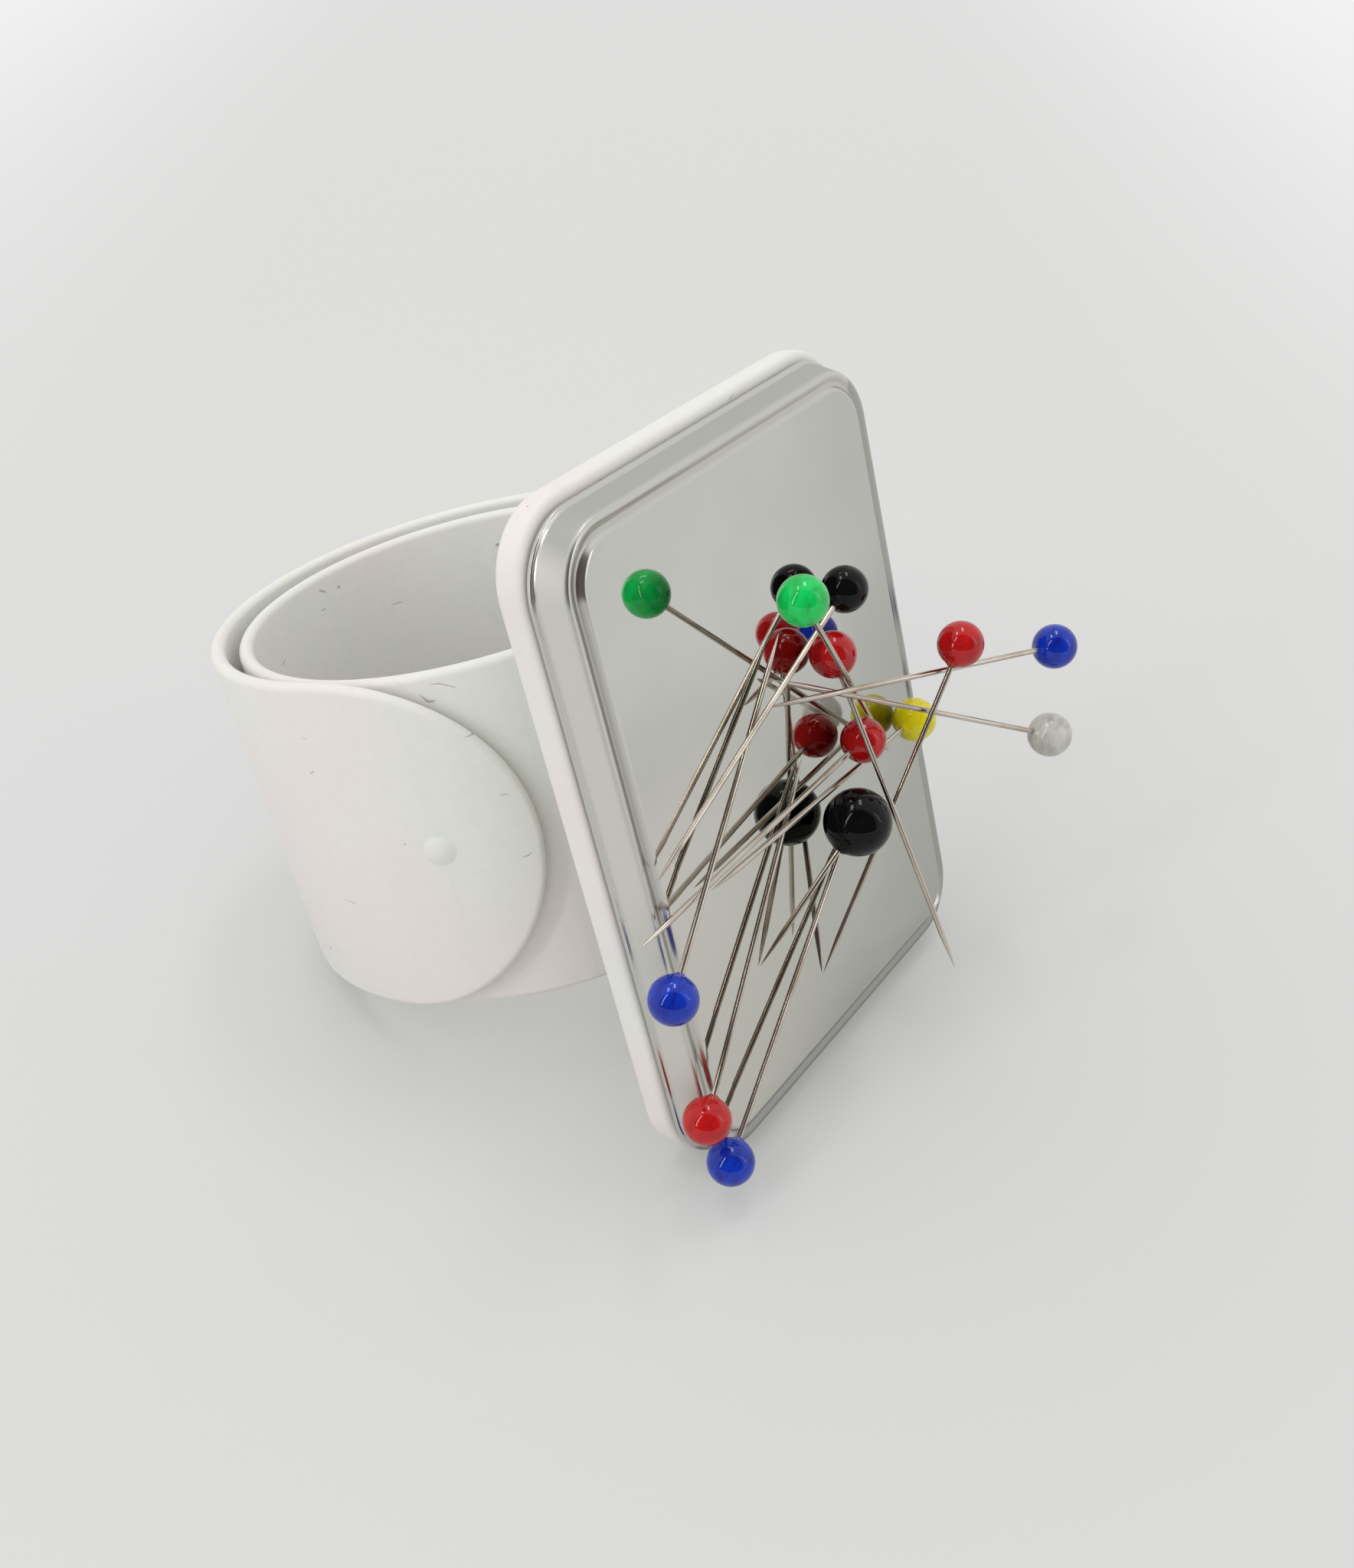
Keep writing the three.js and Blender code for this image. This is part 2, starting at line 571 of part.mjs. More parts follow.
// The lean at which the tray's lower edge and the back of the coil's lower rim both touch the ground
function leanToStand() {
  const arm = ARMS[0];
  const back = arm.path.reduce((a, b) => (b.y > a.y ? b : a));
  const climb = arm.climb * arm.path.indexOf(back) / (arm.path.length - 1);
  const run = back.y - (SEAM + TRAY_THICKNESS - TRAY_EDGE);
  const rise = climb - (TIP_RADIUS - HALF_THICKNESS) + (PLATE_HEIGHT / 2 + LIP - TRAY_LIFT - TRAY_EDGE);
  return Math.atan2(rise, run) + Math.asin((TRAY_EDGE - HALF_THICKNESS) / Math.hypot(run, rise));
}
tile.rotation.x = -leanToStand();

// Stand the cushion on z = 0, with the middle of its outline at the origin.
part.updateMatrixWorld(true);
const bounds = new THREE.Box3().setFromObject(part, true);
part.position.set(-(bounds.min.x + bounds.max.x) / 2, -(bounds.min.y + bounds.max.y) / 2, -bounds.min.z);

export default part;
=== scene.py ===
# %% [markdown]
# # A magnetic wrist pin cushion
# A steel plate sits in a soft silicone tray, and a silicone covered snap band behind it curls round the
# wrist. A magnet behind the plate holds ball head pins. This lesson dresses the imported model: it makes
# a smooth skin for every faceted solid, gives each piece its finish, and lights the whole on a pale
# floor.

# %% Load the frame
import json
import math

import bmesh
import bpy
import numpy as np
from mathutils import Matrix, Quaternion, Vector


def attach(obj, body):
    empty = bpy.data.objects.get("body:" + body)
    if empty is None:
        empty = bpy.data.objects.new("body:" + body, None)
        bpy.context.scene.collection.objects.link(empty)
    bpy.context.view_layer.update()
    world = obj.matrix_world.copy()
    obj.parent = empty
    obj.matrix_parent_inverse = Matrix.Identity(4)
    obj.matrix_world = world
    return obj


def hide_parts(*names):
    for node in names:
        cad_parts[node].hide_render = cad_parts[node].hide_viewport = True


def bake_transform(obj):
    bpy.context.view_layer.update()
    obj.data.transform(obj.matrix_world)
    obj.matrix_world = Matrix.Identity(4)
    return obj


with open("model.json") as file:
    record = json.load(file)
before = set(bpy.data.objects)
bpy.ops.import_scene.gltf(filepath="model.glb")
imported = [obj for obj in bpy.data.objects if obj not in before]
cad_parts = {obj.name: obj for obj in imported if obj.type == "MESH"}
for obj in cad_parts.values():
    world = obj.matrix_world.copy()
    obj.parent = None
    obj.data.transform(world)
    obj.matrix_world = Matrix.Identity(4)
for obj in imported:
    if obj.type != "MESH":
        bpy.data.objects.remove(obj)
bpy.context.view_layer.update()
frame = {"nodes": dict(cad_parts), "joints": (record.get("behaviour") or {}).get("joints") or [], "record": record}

MM = 0.001
PLATE_SIZE = (50, 66, 7)  # width, height and corner radius of the pin plate, in millimetres

# %% [markdown]
# The cushion leans back as it stands, so its plate is tilted. It is easier to model in axes that lie
# along the plate: x across it, y from its face towards the band and z up it. Two of the model's mounts
# give these axes, and one of them has a known place on the plate, so nothing about the lean is written
# here twice.

# %% The plate's own axes
mounts = {mount["name"]: mount for mount in frame["record"]["mounts"]}
FACING = -Vector(mounts["tray_back"]["axis"]).normalized()
UPWARD = Vector(mounts["wrist"]["axis"]).normalized()
BACK_SPOT = Vector((-18, 3.2, 26))  # the tray_back mount in the plate's axes, in millimetres
turn = Matrix((UPWARD.cross(FACING), -FACING, UPWARD)).transposed()
TILE = Matrix.Translation(Vector(mounts["tray_back"]["pos_m"]) - turn @ BACK_SPOT * MM)
TILE = TILE @ (turn * MM).to_4x4()
print("lean in degrees:", round(math.degrees(math.asin(FACING.z)), 2))


def in_frame(point):
    """A point in the plate's axes, in millimetres, as a point of the model, in metres."""
    return TILE @ Vector(point)


# %% [markdown]
# The camera stands where the photographer stood: above and to the left of the plate, looking down at it
# from about 16 cm. Its place and its angles are written in the plate's axes, so it keeps its view of
# the plate however the cushion leans. Its focal length is in pixels of the picture, and the lens
# follows from that.

# %% Camera
IMAGE = (1768, 2048)
FOCAL_PIXELS = 2146
CAMERA_PLACE = (-112.9, -89.5, 70.0)  # from the middle of the plate's base, in the plate's axes
CAMERA_AZIMUTH = math.radians(-48.16)
CAMERA_ELEVATION = math.radians(26.22)
CAMERA_ROLL = math.radians(14.15)
camera_data = bpy.data.cameras.new("camera")
camera_data.sensor_width = 36
camera_data.lens = camera_data.sensor_width * FOCAL_PIXELS / max(IMAGE)
camera_data.clip_start = 0.01
camera = bpy.data.objects.new("camera", camera_data)
bpy.context.scene.collection.objects.link(camera)
level = math.cos(CAMERA_ELEVATION)
looking = Vector((
    -math.sin(CAMERA_AZIMUTH) * level,
    math.cos(CAMERA_AZIMUTH) * level,
    -math.sin(CAMERA_ELEVATION),
))
camera.rotation_mode = "QUATERNION"
aim = Quaternion(looking, CAMERA_ROLL) @ looking.to_track_quat("-Z", "Y")
camera.rotation_quaternion = turn.to_quaternion() @ aim
camera.location = in_frame(CAMERA_PLACE)
bpy.context.scene.camera = camera
print("lens in mm:", round(camera_data.lens, 1))

# %% [markdown]
# Shaders and geometry trees are both made of nodes. One small helper adds a node, sets its inputs and
# links whatever is already a socket, so that a tree reads from top to bottom like a recipe.


# %% A helper for node trees
class Recipe:
    """Adds nodes to a tree, with their inputs set or linked."""

    def __init__(self, tree):
        self.tree = tree

    def add(self, kind, inputs=None, out=0, **settings):
        node = self.tree.nodes.new(kind)
        for name, value in settings.items():
            setattr(node, name, value)
        for key, value in (inputs or {}).items():
            if isinstance(value, bpy.types.NodeSocket):
                self.tree.links.new(value, node.inputs[key])
            else:
                node.inputs[key].default_value = value
        return node.outputs[out]

    def math(self, operation, *values):
        return self.add("ShaderNodeMath", dict(enumerate(values)), operation=operation)

    def times(self, *values):
        return self.math("MULTIPLY", *values)

    def minus(self, *values):
        return self.math("SUBTRACT", *values)

    def plus(self, *values):
        return self.math("ADD", *values)

    def vector(self, operation, *values):
        return self.add("ShaderNodeVectorMath", dict(enumerate(values)), operation=operation)

    def scaled(self, vector, factor):
        return self.add("ShaderNodeVectorMath", {0: vector, 3: factor}, operation="SCALE")

    def step(self, value, low, high, start=0.0, end=1.0):
        """A soft step: start below low, end above high."""
        inputs = {0: value, 1: low, 2: high, 3: start, 4: end}
        return self.add("ShaderNodeMapRange", inputs, interpolation_type="SMOOTHSTEP")

    def noise(self, place, scale, detail=2.0, out=0):
        inputs = {"Vector": place, "Scale": scale, "Detail": detail}
        return self.add("ShaderNodeTexNoise", inputs, out=out)

    def mix(self, factor, a, b):
        return self.add("ShaderNodeMix", {0: factor, 6: a, 7: b}, out=2, data_type="RGBA")

    def dot(self, vector, direction):
        """How far a vector reaches along a direction."""
        both = {0: vector, 1: direction}
        return self.add("ShaderNodeVectorMath", both, out=1, operation="DOT_PRODUCT")

    def marks(self, place, scale, edge, chance):
        """A soft dot in a few Voronoi cells. Each cell's random colour decides whether it has one."""
        cells = {"Vector": place, "Scale": scale}
        spot = self.step(self.add("ShaderNodeTexVoronoi", cells), *edge, 1.0, 0.0)
        luck = self.add("ShaderNodeSeparateColor", {0: self.add("ShaderNodeTexVoronoi", cells, out=1)})
        return self.times(spot, self.step(luck, *chance))

    def feed(self, shader, **sockets):
        """Links values to a shader. An underscore in a name stands for a space."""
        for name, value in sockets.items():
            self.tree.links.new(value, shader.inputs[name.replace("_", " ")])


# %% [markdown]
# Every finish here starts from the Principled shader. One helper turns a colour as it looks on a
# screen into the linear one that a shader wants. Another sets up a material whose patterns lie on the
# piece's own coordinates, so that they stay on it when it moves.


# %% Helpers for finishes
def paint(red, green, blue):
    """A colour as seen on a screen, 0 to 255, made linear."""
    shares = [channel / 255 for channel in (red, green, blue)]
    return tuple(s / 12.92 if s < 0.04045 else ((s + 0.055) / 1.055) ** 2.4 for s in shares) + (1.0,)


def new_finish(name, color, roughness, metallic=0.0, **sockets):
    """A material with its Principled shader set, and the recipe and the shader to add to."""
    material = bpy.data.materials.new(name)
    material.use_nodes = True
    shader = material.node_tree.nodes["Principled BSDF"]
    sockets = {"Base_Color": color, "Roughness": roughness, "Metallic": metallic, **sockets}
    for socket, value in sockets.items():
        shader.inputs[socket.replace("_", " ")].default_value = value
    material.diffuse_color = color
    recipe = Recipe(material.node_tree)
    place = recipe.add("ShaderNodeTexCoord", out=3)
    return material, recipe, shader, place


def add_bump(recipe, shader, height, strength, distance):
    bump = recipe.add("ShaderNodeBump", {"Height": height, "Strength": strength, "Distance": distance})
    recipe.feed(shader, Normal=bump)


# %% [markdown]
# Silicone is a warm white rubber with a soft satin skin. Up close it is never one colour: it drifts
# between a pinkish and a greenish white, and it picks up lint. Noise drives the drift, and Voronoi
# cells place the lint: a short mark near the middle of a few cells only, thin and long for a hair,
# round for a speck of dust.

# %% Silicone
SILICONE_WHITE = paint(226, 222, 218)
PINKISH_WHITE = paint(229, 223, 220)
GREENISH_WHITE = paint(226, 228, 222)
GRAIN_SHADE = paint(208, 202, 197)
LINT_COLOR = paint(128, 120, 116)
HAIR_STRETCH = (1.0, 1.6, 9.0)  # squeezes the pattern, so that each cell is drawn out the other way


def make_silicone():
    material, recipe, shader, place = new_finish(
        "band_silicone", SILICONE_WHITE, 0.5, Subsurface_Weight=0.12, Subsurface_Scale=0.0015)
    base = recipe.mix(recipe.step(recipe.noise(place, 38.0), 0.4, 0.62), PINKISH_WHITE, GREENISH_WHITE)
    grain = recipe.step(recipe.noise(place, 900.0, 3.0), 0.3, 0.75, 0.0, 0.1)
    base = recipe.mix(grain, base, GRAIN_SHADE)

    # Dust: dots that a small wobble keeps from being quite round
    wobble = recipe.scaled(recipe.noise(place, 700.0, 1.0, out=1), 1.2 * MM)
    dust = recipe.marks(recipe.vector("ADD", place, wobble), 300.0, (0.045, 0.085), (0.80, 0.82))

    # Hairs: the same in cells that are drawn out, so that the dot is a thin line, which a swirl bends
    swirl = recipe.scaled(recipe.noise(place, 260.0, 1.0, out=1), 4 * MM)
    drawn = recipe.vector("MULTIPLY", recipe.vector("ADD", place, swirl), HAIR_STRETCH)
    hair = recipe.marks(drawn, 110.0, (0.055, 0.1), (0.72, 0.74))

    lint = recipe.times(recipe.math("MAXIMUM", dust, hair), 0.6)
    base = recipe.mix(lint, base, LINT_COLOR)
    rough = recipe.step(recipe.noise(place, 220.0), 0.3, 0.7, 0.44, 0.56)
    recipe.feed(shader, Base_Color=base, Roughness=rough)
    add_bump(recipe, shader, recipe.noise(place, 1600.0, 3.0), 0.12, 0.1 * MM)
    return material


SILICONE = make_silicone()
print("silicone nodes:", len(SILICONE.node_tree.nodes))

# %% [markdown]
# To paint one part of the plate apart from another, the finish has to know where it is. The plate's own
# axes give the place across and up it. The distance in from its rounded outline follows from these by
# the usual rule for a rounded rectangle, and with it the hem, the wall, the groove and the field can be
# told apart.


# %% Where a point is on the plate
def plate_place(recipe, place):
    """Where a point is on the plate: across it, up it, and the distance in from its outline."""
    offset = recipe.vector("SUBTRACT", place, tuple(TILE.translation))
    across = recipe.dot(offset, tuple(turn.col[0]))
    upward = recipe.dot(offset, tuple(turn.col[2]))
    width, height, corner = (size * MM for size in PLATE_SIZE)
    over_x = recipe.minus(recipe.math("ABSOLUTE", across), width / 2 - corner)
    over_z = recipe.minus(recipe.math("ABSOLUTE", upward), height / 2 - corner)
    past_x = recipe.math("POWER", recipe.math("MAXIMUM", over_x, 0.0), 2.0)
    past_z = recipe.math("POWER", recipe.math("MAXIMUM", over_z, 0.0), 2.0)
    round_part = recipe.math("SQRT", recipe.plus(past_x, past_z))
    flat_part = recipe.math("MINIMUM", recipe.math("MAXIMUM", over_x, over_z), 0.0)
    inset = recipe.minus(corner, recipe.plus(round_part, flat_part))
    return across, upward, inset


# %% [markdown]
# The plate is pressed from thin bright steel. Its field is highly polished, a mirror that hardly blurs
# what it shows: a slow bump bends the reflections a little, and faint clouds and a few dark specks lie
# on the polish. The ridge and the groove round it are satin, and the wall is dull and greyer. Light and
# shade are painted on too: a painted reflection makes the field darker to the right and paler at the
# lower left, painted light makes the wall palest on the left, painted shade darkens the edge along the
# lower and right sides, and grime and painted shade darken the groove.

# %% Plate steel
# Where a part of the plate fades in or out, from and to, as distances inwards from its outline
WALL_START = (0.28 * MM, 0.36 * MM)
WALL_END = (0.95 * MM, 1.25 * MM)
GROOVE_START = (1.3 * MM, 1.9 * MM)
GROOVE_END = (2.4 * MM, 2.8 * MM)
FIELD_START = (2.7 * MM, 3.3 * MM)
# The same as distances from its middle, across it or up it
LEFT_WALL = (-23.9 * MM, -21.5 * MM)
LEFT_GROOVE = (-21 * MM, -18 * MM)
LEFT_FIELD = (-20 * MM, 2 * MM)
RIGHT_FIELD = (4 * MM, 23 * MM)
RIGHT_EDGE = (21.6 * MM, 22.1 * MM)
LOWER_EDGE = (-30.4 * MM, -29.9 * MM)
LOWER_FIELD = (-2 * MM, 14 * MM)
GRIME_AND_SHADE_HEIGHT = (-24 * MM, 12 * MM)


def make_plate_steel():
    material, recipe, shader, place = new_finish("plate_steel", paint(212, 212, 206), 0.06, 1.0)
    across, upward, inset = plate_place(recipe, place)
    is_field = recipe.step(inset, *FIELD_START)
    is_wall = recipe.times(recipe.step(inset, *WALL_START), recipe.step(inset, *WALL_END, 1.0, 0.0))

    # Painted reflection: the field's colour is a little darker to the right and paler at the lower left
    cloud = recipe.step(recipe.noise(place, 60.0, 3.0), 0.35, 0.7)
    field = recipe.mix(cloud, paint(202, 202, 196), paint(195, 196, 189))
    field = recipe.mix(recipe.step(across, *RIGHT_FIELD, 0.0, 0.6), field, paint(176, 177, 172))
    low = recipe.step(upward, *LOWER_FIELD, 1.0, 0.0)
    painted_low_left_light = recipe.times(low, recipe.step(across, *LEFT_FIELD, 1.0, 0.0))
    field = recipe.mix(painted_low_left_light, field, paint(216, 213, 207))

    # Painted light and shade: the wall is painted palest on the left, and the edge darker along the plate's lower
    # and right sides
    wall = recipe.mix(recipe.step(across, *LEFT_WALL), paint(208, 207, 200), paint(168, 169, 163))
    edge = recipe.mix(is_wall, paint(206, 205, 199), wall)
    lower = recipe.step(upward, *LOWER_EDGE, 0.9, 0.0)
    edge_shade = recipe.math("MAXIMUM", lower, recipe.step(across, *RIGHT_EDGE, 0.0, 0.6))
    edge = recipe.mix(edge_shade, edge, paint(146, 147, 143))
    base = recipe.mix(is_field, edge, field)

    # Grime and painted shade lie in the groove, most of them on the left, and fade down the plate
    groove_end = recipe.step(inset, *GROOVE_END, 1.0, 0.0)
    in_groove = recipe.times(recipe.step(inset, *GROOVE_START), groove_end)
    amount = recipe.step(across, *LEFT_GROOVE, 0.4, 0.15)
    fade = recipe.step(upward, *GRIME_AND_SHADE_HEIGHT, 0.25, 1.0)
    grime_and_shade = recipe.times(recipe.times(in_groove, amount), fade)
    base = recipe.mix(grime_and_shade, base, paint(118, 106, 100))
    specks = recipe.marks(place, 160.0, (0.035, 0.06), (0.955, 0.965))
    specks = recipe.times(specks, is_field)
    base = recipe.mix(recipe.times(specks, 0.8), base, paint(70, 64, 60))

    # Dull steel scatters more, so the wall is rougher and less of a metal mirror
    bright = recipe.minus(1.0, recipe.times(is_wall, 0.65))
    smear = recipe.step(recipe.noise(place, 120.0, 4.0), 0.3, 0.75, 0.015, 0.045)
    satin = recipe.times(recipe.minus(1.0, is_field), 0.2)
    satin = recipe.plus(satin, recipe.times(is_wall, 0.35))
    recipe.feed(shader, Base_Color=base, Metallic=bright, Roughness=recipe.plus(smear, satin))
    add_bump(recipe, shader, recipe.noise(place, 45.0, 1.0), 0.06, 0.6 * MM)
    return material


PLATE_STEEL = make_plate_steel()
print("plate steel nodes:", len(PLATE_STEEL.node_tree.nodes))

# %% [markdown]
# The pins' shafts are nickel plated steel, a warm metal that is never as clean as the plate: slow noise
# tarnishes it here and there. The snap strip, the magnet and its foam pad are hidden, so two tones and
# one grain do.


# %% Nickel and the hidden pieces' finishes
def make_nickel():
    material, recipe, shader, place = new_finish("pin_nickel", paint(198, 188, 176), 0.14, 1.0)
    tarnish = recipe.step(recipe.noise(place, 160.0, 3.0), 0.4, 0.8)
    base = recipe.mix(tarnish, paint(204, 195, 184), paint(160, 144, 126))
    rough = recipe.step(recipe.noise(place, 300.0, 2.0), 0.3, 0.7, 0.15, 0.22)
    recipe.feed(shader, Base_Color=base, Roughness=rough)
    return material


def make_plain(name, light, dark, roughness, metallic, scale, bump):
    """A finish for what is mostly hidden: two tones, one grain."""
    material, recipe, shader, place = new_finish(name, light, roughness, metallic)
    grain = recipe.noise(place, scale, 4.0)
    base = recipe.mix(recipe.step(grain, 0.35, 0.7), light, dark)
    recipe.feed(shader, Base_Color=base)
    add_bump(recipe, shader, grain, bump, 0.2 * MM)
    return material


NICKEL = make_nickel()
SNAP_STEEL = make_plain("snap_steel", paint(165, 168, 172), paint(128, 130, 134), 0.35, 1.0, 700.0, 0.1)
FERRITE = make_plain("magnet_ferrite", paint(70, 70, 72), paint(48, 48, 50), 0.8, 0.0, 1400.0, 0.4)
FOAM = make_plain("pad_adhesive", paint(226, 216, 178), paint(205, 192, 150), 0.9, 0.0, 1800.0, 0.5)
print("finishes so far:", len(bpy.data.materials))

# %% [markdown]
# The beads are glossy moulded plastic in strong colours, so they mirror little and sharply. Real beads
# show fine swirls where the plastic flowed, so a stretched noise varies the colour slightly. The
# record knows which pin has which colour.


# %% Bead plastic
def make_bead_finish(color, tone, swirl, roughness=0.04, shine=0.45):
    material, recipe, shader, place = new_finish(
        "bead_" + color, paint(*tone), roughness, Specular_IOR_Level=shine)
    flow = recipe.noise(recipe.vector("MULTIPLY", place, (1.0, 2.5, 1.0)), 520.0, 3.0)
    mixed = recipe.mix(recipe.step(flow, 0.35, 0.75), paint(*tone), paint(*swirl))
    recipe.feed(shader, Base_Color=mixed)
    add_bump(recipe, shader, recipe.noise(place, 700.0, 2.0), 0.02, 0.1 * MM)
    return material


BEAD_LOOKS = {
    "green": ((16, 200, 92), (8, 164, 68)),
    "black": ((7, 7, 9), (11, 12, 14), 0.04, 0.2),
    "red": ((184, 18, 20), (158, 12, 16)),
    "yellow": ((232, 220, 24), (208, 192, 12)),
    "blue": ((6, 50, 176), (6, 27, 132)),
    "pearl": ((196, 194, 188), (172, 168, 162), 0.12),
}
BEAD_FINISHES = {color: make_bead_finish(color, *look) for color, look in BEAD_LOOKS.items()}
BEAD_OF = {
    part["node"].removesuffix("_bead"): part["material_slot"].removeprefix("bead_")
    for part in frame["record"]["subparts"]
    if part["node"].endswith("_bead")
}
print("pins:", len(BEAD_OF), "bead finishes:", len(BEAD_FINISHES))

# %% [markdown]
# Most pieces here are lofts: a stack of closed rings with faces between them. The helper takes rings in
# the plate's axes, joins them with quads, closes both ends and lets Blender turn all faces outwards.

# %% A loft of rings
WELD = 1e-7  # points closer than this become one


def new_object(name, mesh, material):
    piece = bpy.data.objects.new(name, mesh)
    bpy.context.scene.collection.objects.link(piece)
    mesh.materials.clear()
    mesh.materials.append(material)
    return piece


def finish_mesh(mesh):
    """Welds doubles, drops faces with no area and turns the rest outwards."""
    shape = bmesh.new()
    shape.from_mesh(mesh)
    bmesh.ops.remove_doubles(shape, verts=shape.verts, dist=WELD)
    bmesh.ops.dissolve_degenerate(shape, edges=shape.edges, dist=WELD)
    bmesh.ops.recalc_face_normals(shape, faces=shape.faces)
    shape.to_mesh(mesh)
    shape.free()


def loft(name, rings, material, sharp_angle=60.0):
    """rings are lists of points in the plate's axes, in millimetres, as long as each other."""
    count = len(rings[0])
    points = [in_frame(point) for ring in rings for point in ring]
    faces = [tuple(reversed(range(count)))]
    for row in range(len(rings) - 1):
        for i in range(count):
            a = row * count + i
            b = row * count + (i + 1) % count
            faces.append((a, b, b + count, a + count))
    faces.append(tuple((len(rings) - 1) * count + i for i in range(count)))
    mesh = bpy.data.meshes.new(name)
    mesh.from_pydata(points, [], faces)
    finish_mesh(mesh)
    mesh.shade_smooth()
    mesh.set_sharp_from_angle(angle=math.radians(sharp_angle))
    return new_object(name, mesh, material)


# %% [markdown]
# The rings are rounded rectangles, and how they grow and shrink along the stack comes from a profile: a
# line through a few corners, each rounded by its own fillet. A quadratic curve stands in for the
# fillet's arc.

# %% Rings and profiles
CORNER_STEPS = 16
LEAST_CORNER = 0.4  # a ring drawn far in still keeps round corners
MOST_REACH = 0.49  # a fillet takes less than half of the line on either side


def rounded_ring(width, height, corner, inset, y):
    """A rounded rectangle at height y, drawn in by inset from the given size."""
    radius = max(corner - inset, LEAST_CORNER)
    ring = []
    for quarter in range(4):
        x = (width / 2 - inset - radius) * (1 if quarter in (0, 3) else -1)
        z = (height / 2 - inset - radius) * (1 if quarter < 2 else -1)
        for step in range(CORNER_STEPS + 1):
            angle = (quarter + step / CORNER_STEPS) * math.pi / 2
            ring.append((x + radius * math.cos(angle), y, z + radius * math.sin(angle)))
    return ring


def rounded_profile(corners, steps):
    """A line through 2D points, each with its own fillet radius: corners are (a, b, radius)."""
    line = [Vector(corners[0][:2])]
    for before, here, after in zip(corners, corners[1:], corners[2:]):
        middle = Vector(here[:2])
        back = Vector(before[:2]) - middle
        ahead = Vector(after[:2]) - middle
        half = back.angle(ahead) / 2
        reach = min(here[2] / math.tan(half), back.length * MOST_REACH, ahead.length * MOST_REACH)
        start = middle + back.normalized() * reach
        end = middle + ahead.normalized() * reach
        for step in range(steps + 1):
            t = step / steps
            line.append(start * (1 - t) ** 2 + middle * 2 * t * (1 - t) + end * t ** 2)
    line.append(Vector(corners[-1][:2]))
    return line


# %% [markdown]
# The pin plate is one pressed sheet. From outside in it has a bright hem, a steep wall, a rounded
# ridge, a shallow groove and a field that stands a little higher and falls off softly at its edge. Each
# of these is a corner of one profile, which runs round the plate as rings. Nobody sees the inside, so
# it follows the outside more loosely, about a sheet's thickness away.

# %% Pin plate
SHEET = 0.4
HEM = 0.35
HEM_BEND = 0.14
HEM_STEP = 0.25
HEM_SLOPE = 0.1
WALL_FOOT_BEND = 0.1
RIDGE = (1.2, -3.45)  # inset and y of the ridge's corner, before it is rounded
RIDGE_BEND = 0.7
GROOVE = (2.35, -2.9)
GROOVE_BEND = 0.5
FIELD_EDGE = (2.9, -3.6)
FIELD_BEND = 0.6
FALL_WIDTH = 2.2  # the field falls off over this width
FALL = 0.035
FALL_BEND = 6.0
OUTSIDE = rounded_profile([
    (0.0, 0.0, 0),
    (0.0, -HEM, HEM_BEND),
    (HEM_STEP, -HEM - HEM_SLOPE, WALL_FOOT_BEND),
    (*RIDGE, RIDGE_BEND),
    (*GROOVE, GROOVE_BEND),
    (FIELD_EDGE[0], FIELD_EDGE[1] + FALL, FIELD_BEND),
    (FIELD_EDGE[0] + FALL_WIDTH, FIELD_EDGE[1], FALL_BEND),
    (FIELD_EDGE[0] + 2 * FALL_WIDTH, FIELD_EDGE[1], 0),
], 7)
INSIDE = rounded_profile([
    (HEM_STEP + SHEET, 0.0, 0),
    (RIDGE[0] + SHEET, GROOVE[1] + SHEET, 0.3),
    (GROOVE[0] + SHEET, GROOVE[1] + SHEET, 0.2),
    (FIELD_EDGE[0] + SHEET, FIELD_EDGE[1] + SHEET, 0.2),
    (FIELD_EDGE[0] + 2 * FALL_WIDTH, FIELD_EDGE[1] + SHEET, 0),
], 5)


def make_pin_plate():
    inner = [rounded_ring(*PLATE_SIZE, inset, y) for inset, y in INSIDE]
    outer = [rounded_ring(*PLATE_SIZE, inset, y) for inset, y in OUTSIDE]
    plate = loft("pin_plate_shell", inner[::-1] + outer, PLATE_STEEL, 30.0)
    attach(plate, "root")
    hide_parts("pin_plate")
    return plate


pin_plate = make_pin_plate()
print("plate faces:", len(pin_plate.data.polygons))

# %% [markdown]
# The tray is moulded silicone, so no edge is sharp and no side quite straight. Its rings come from a
# profile with soft corners, and slow waves then nudge each point by a few hundredths of a millimetre.

# %% Tray
TRAY_LIP = 0.5
TRAY_LIFT = 0.6
TRAY_FRONT = 0.3
TRAY_BACK = 3.2
TRAY_EDGE = 1.0
TRAY_FRONT_EDGE = 0.9
TRAY_FACE_RINGS = 6.0  # both faces have rings this far in, and one flat face fills the rest
TRAY_SIZE = tuple(size + 2 * TRAY_LIP for size in PLATE_SIZE[:2]) + (PLATE_SIZE[2] + TRAY_LIP,)
TRAY_WAVE = 0.045  # how far the moulded sides wander
TRAY_REACH = 30  # about the sides' distance from the middle, which makes the wander a scale


def wandering(x, z):
    """A scale near 1 that wanders slowly round the tray. Two sines make it the same in every run."""
    wave = math.sin(0.31 * x + 0.23 * z) + math.sin(0.53 * z - 0.17 * x + 1.0)
    return 1 + TRAY_WAVE * wave / 2 / TRAY_REACH


def make_tray():
    profile = rounded_profile([
        (TRAY_FACE_RINGS, TRAY_BACK, 0),
        (0.0, TRAY_BACK, TRAY_EDGE),
        (0.0, TRAY_FRONT, TRAY_FRONT_EDGE),
        (TRAY_FACE_RINGS, TRAY_FRONT, 0),
    ], 8)
    rings = []
    for inset, y in profile:
        ring = rounded_ring(*TRAY_SIZE, inset, y)
        rings.append([(x * wandering(x, z), y, z * wandering(z, x) + TRAY_LIFT) for x, y, z in ring])
    tray = loft("soft_tray", rings, SILICONE)
    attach(tray, "root")
    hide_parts("silicone_tray")
    return tray


tray = make_tray()
print("tray faces:", len(tray.data.polygons))

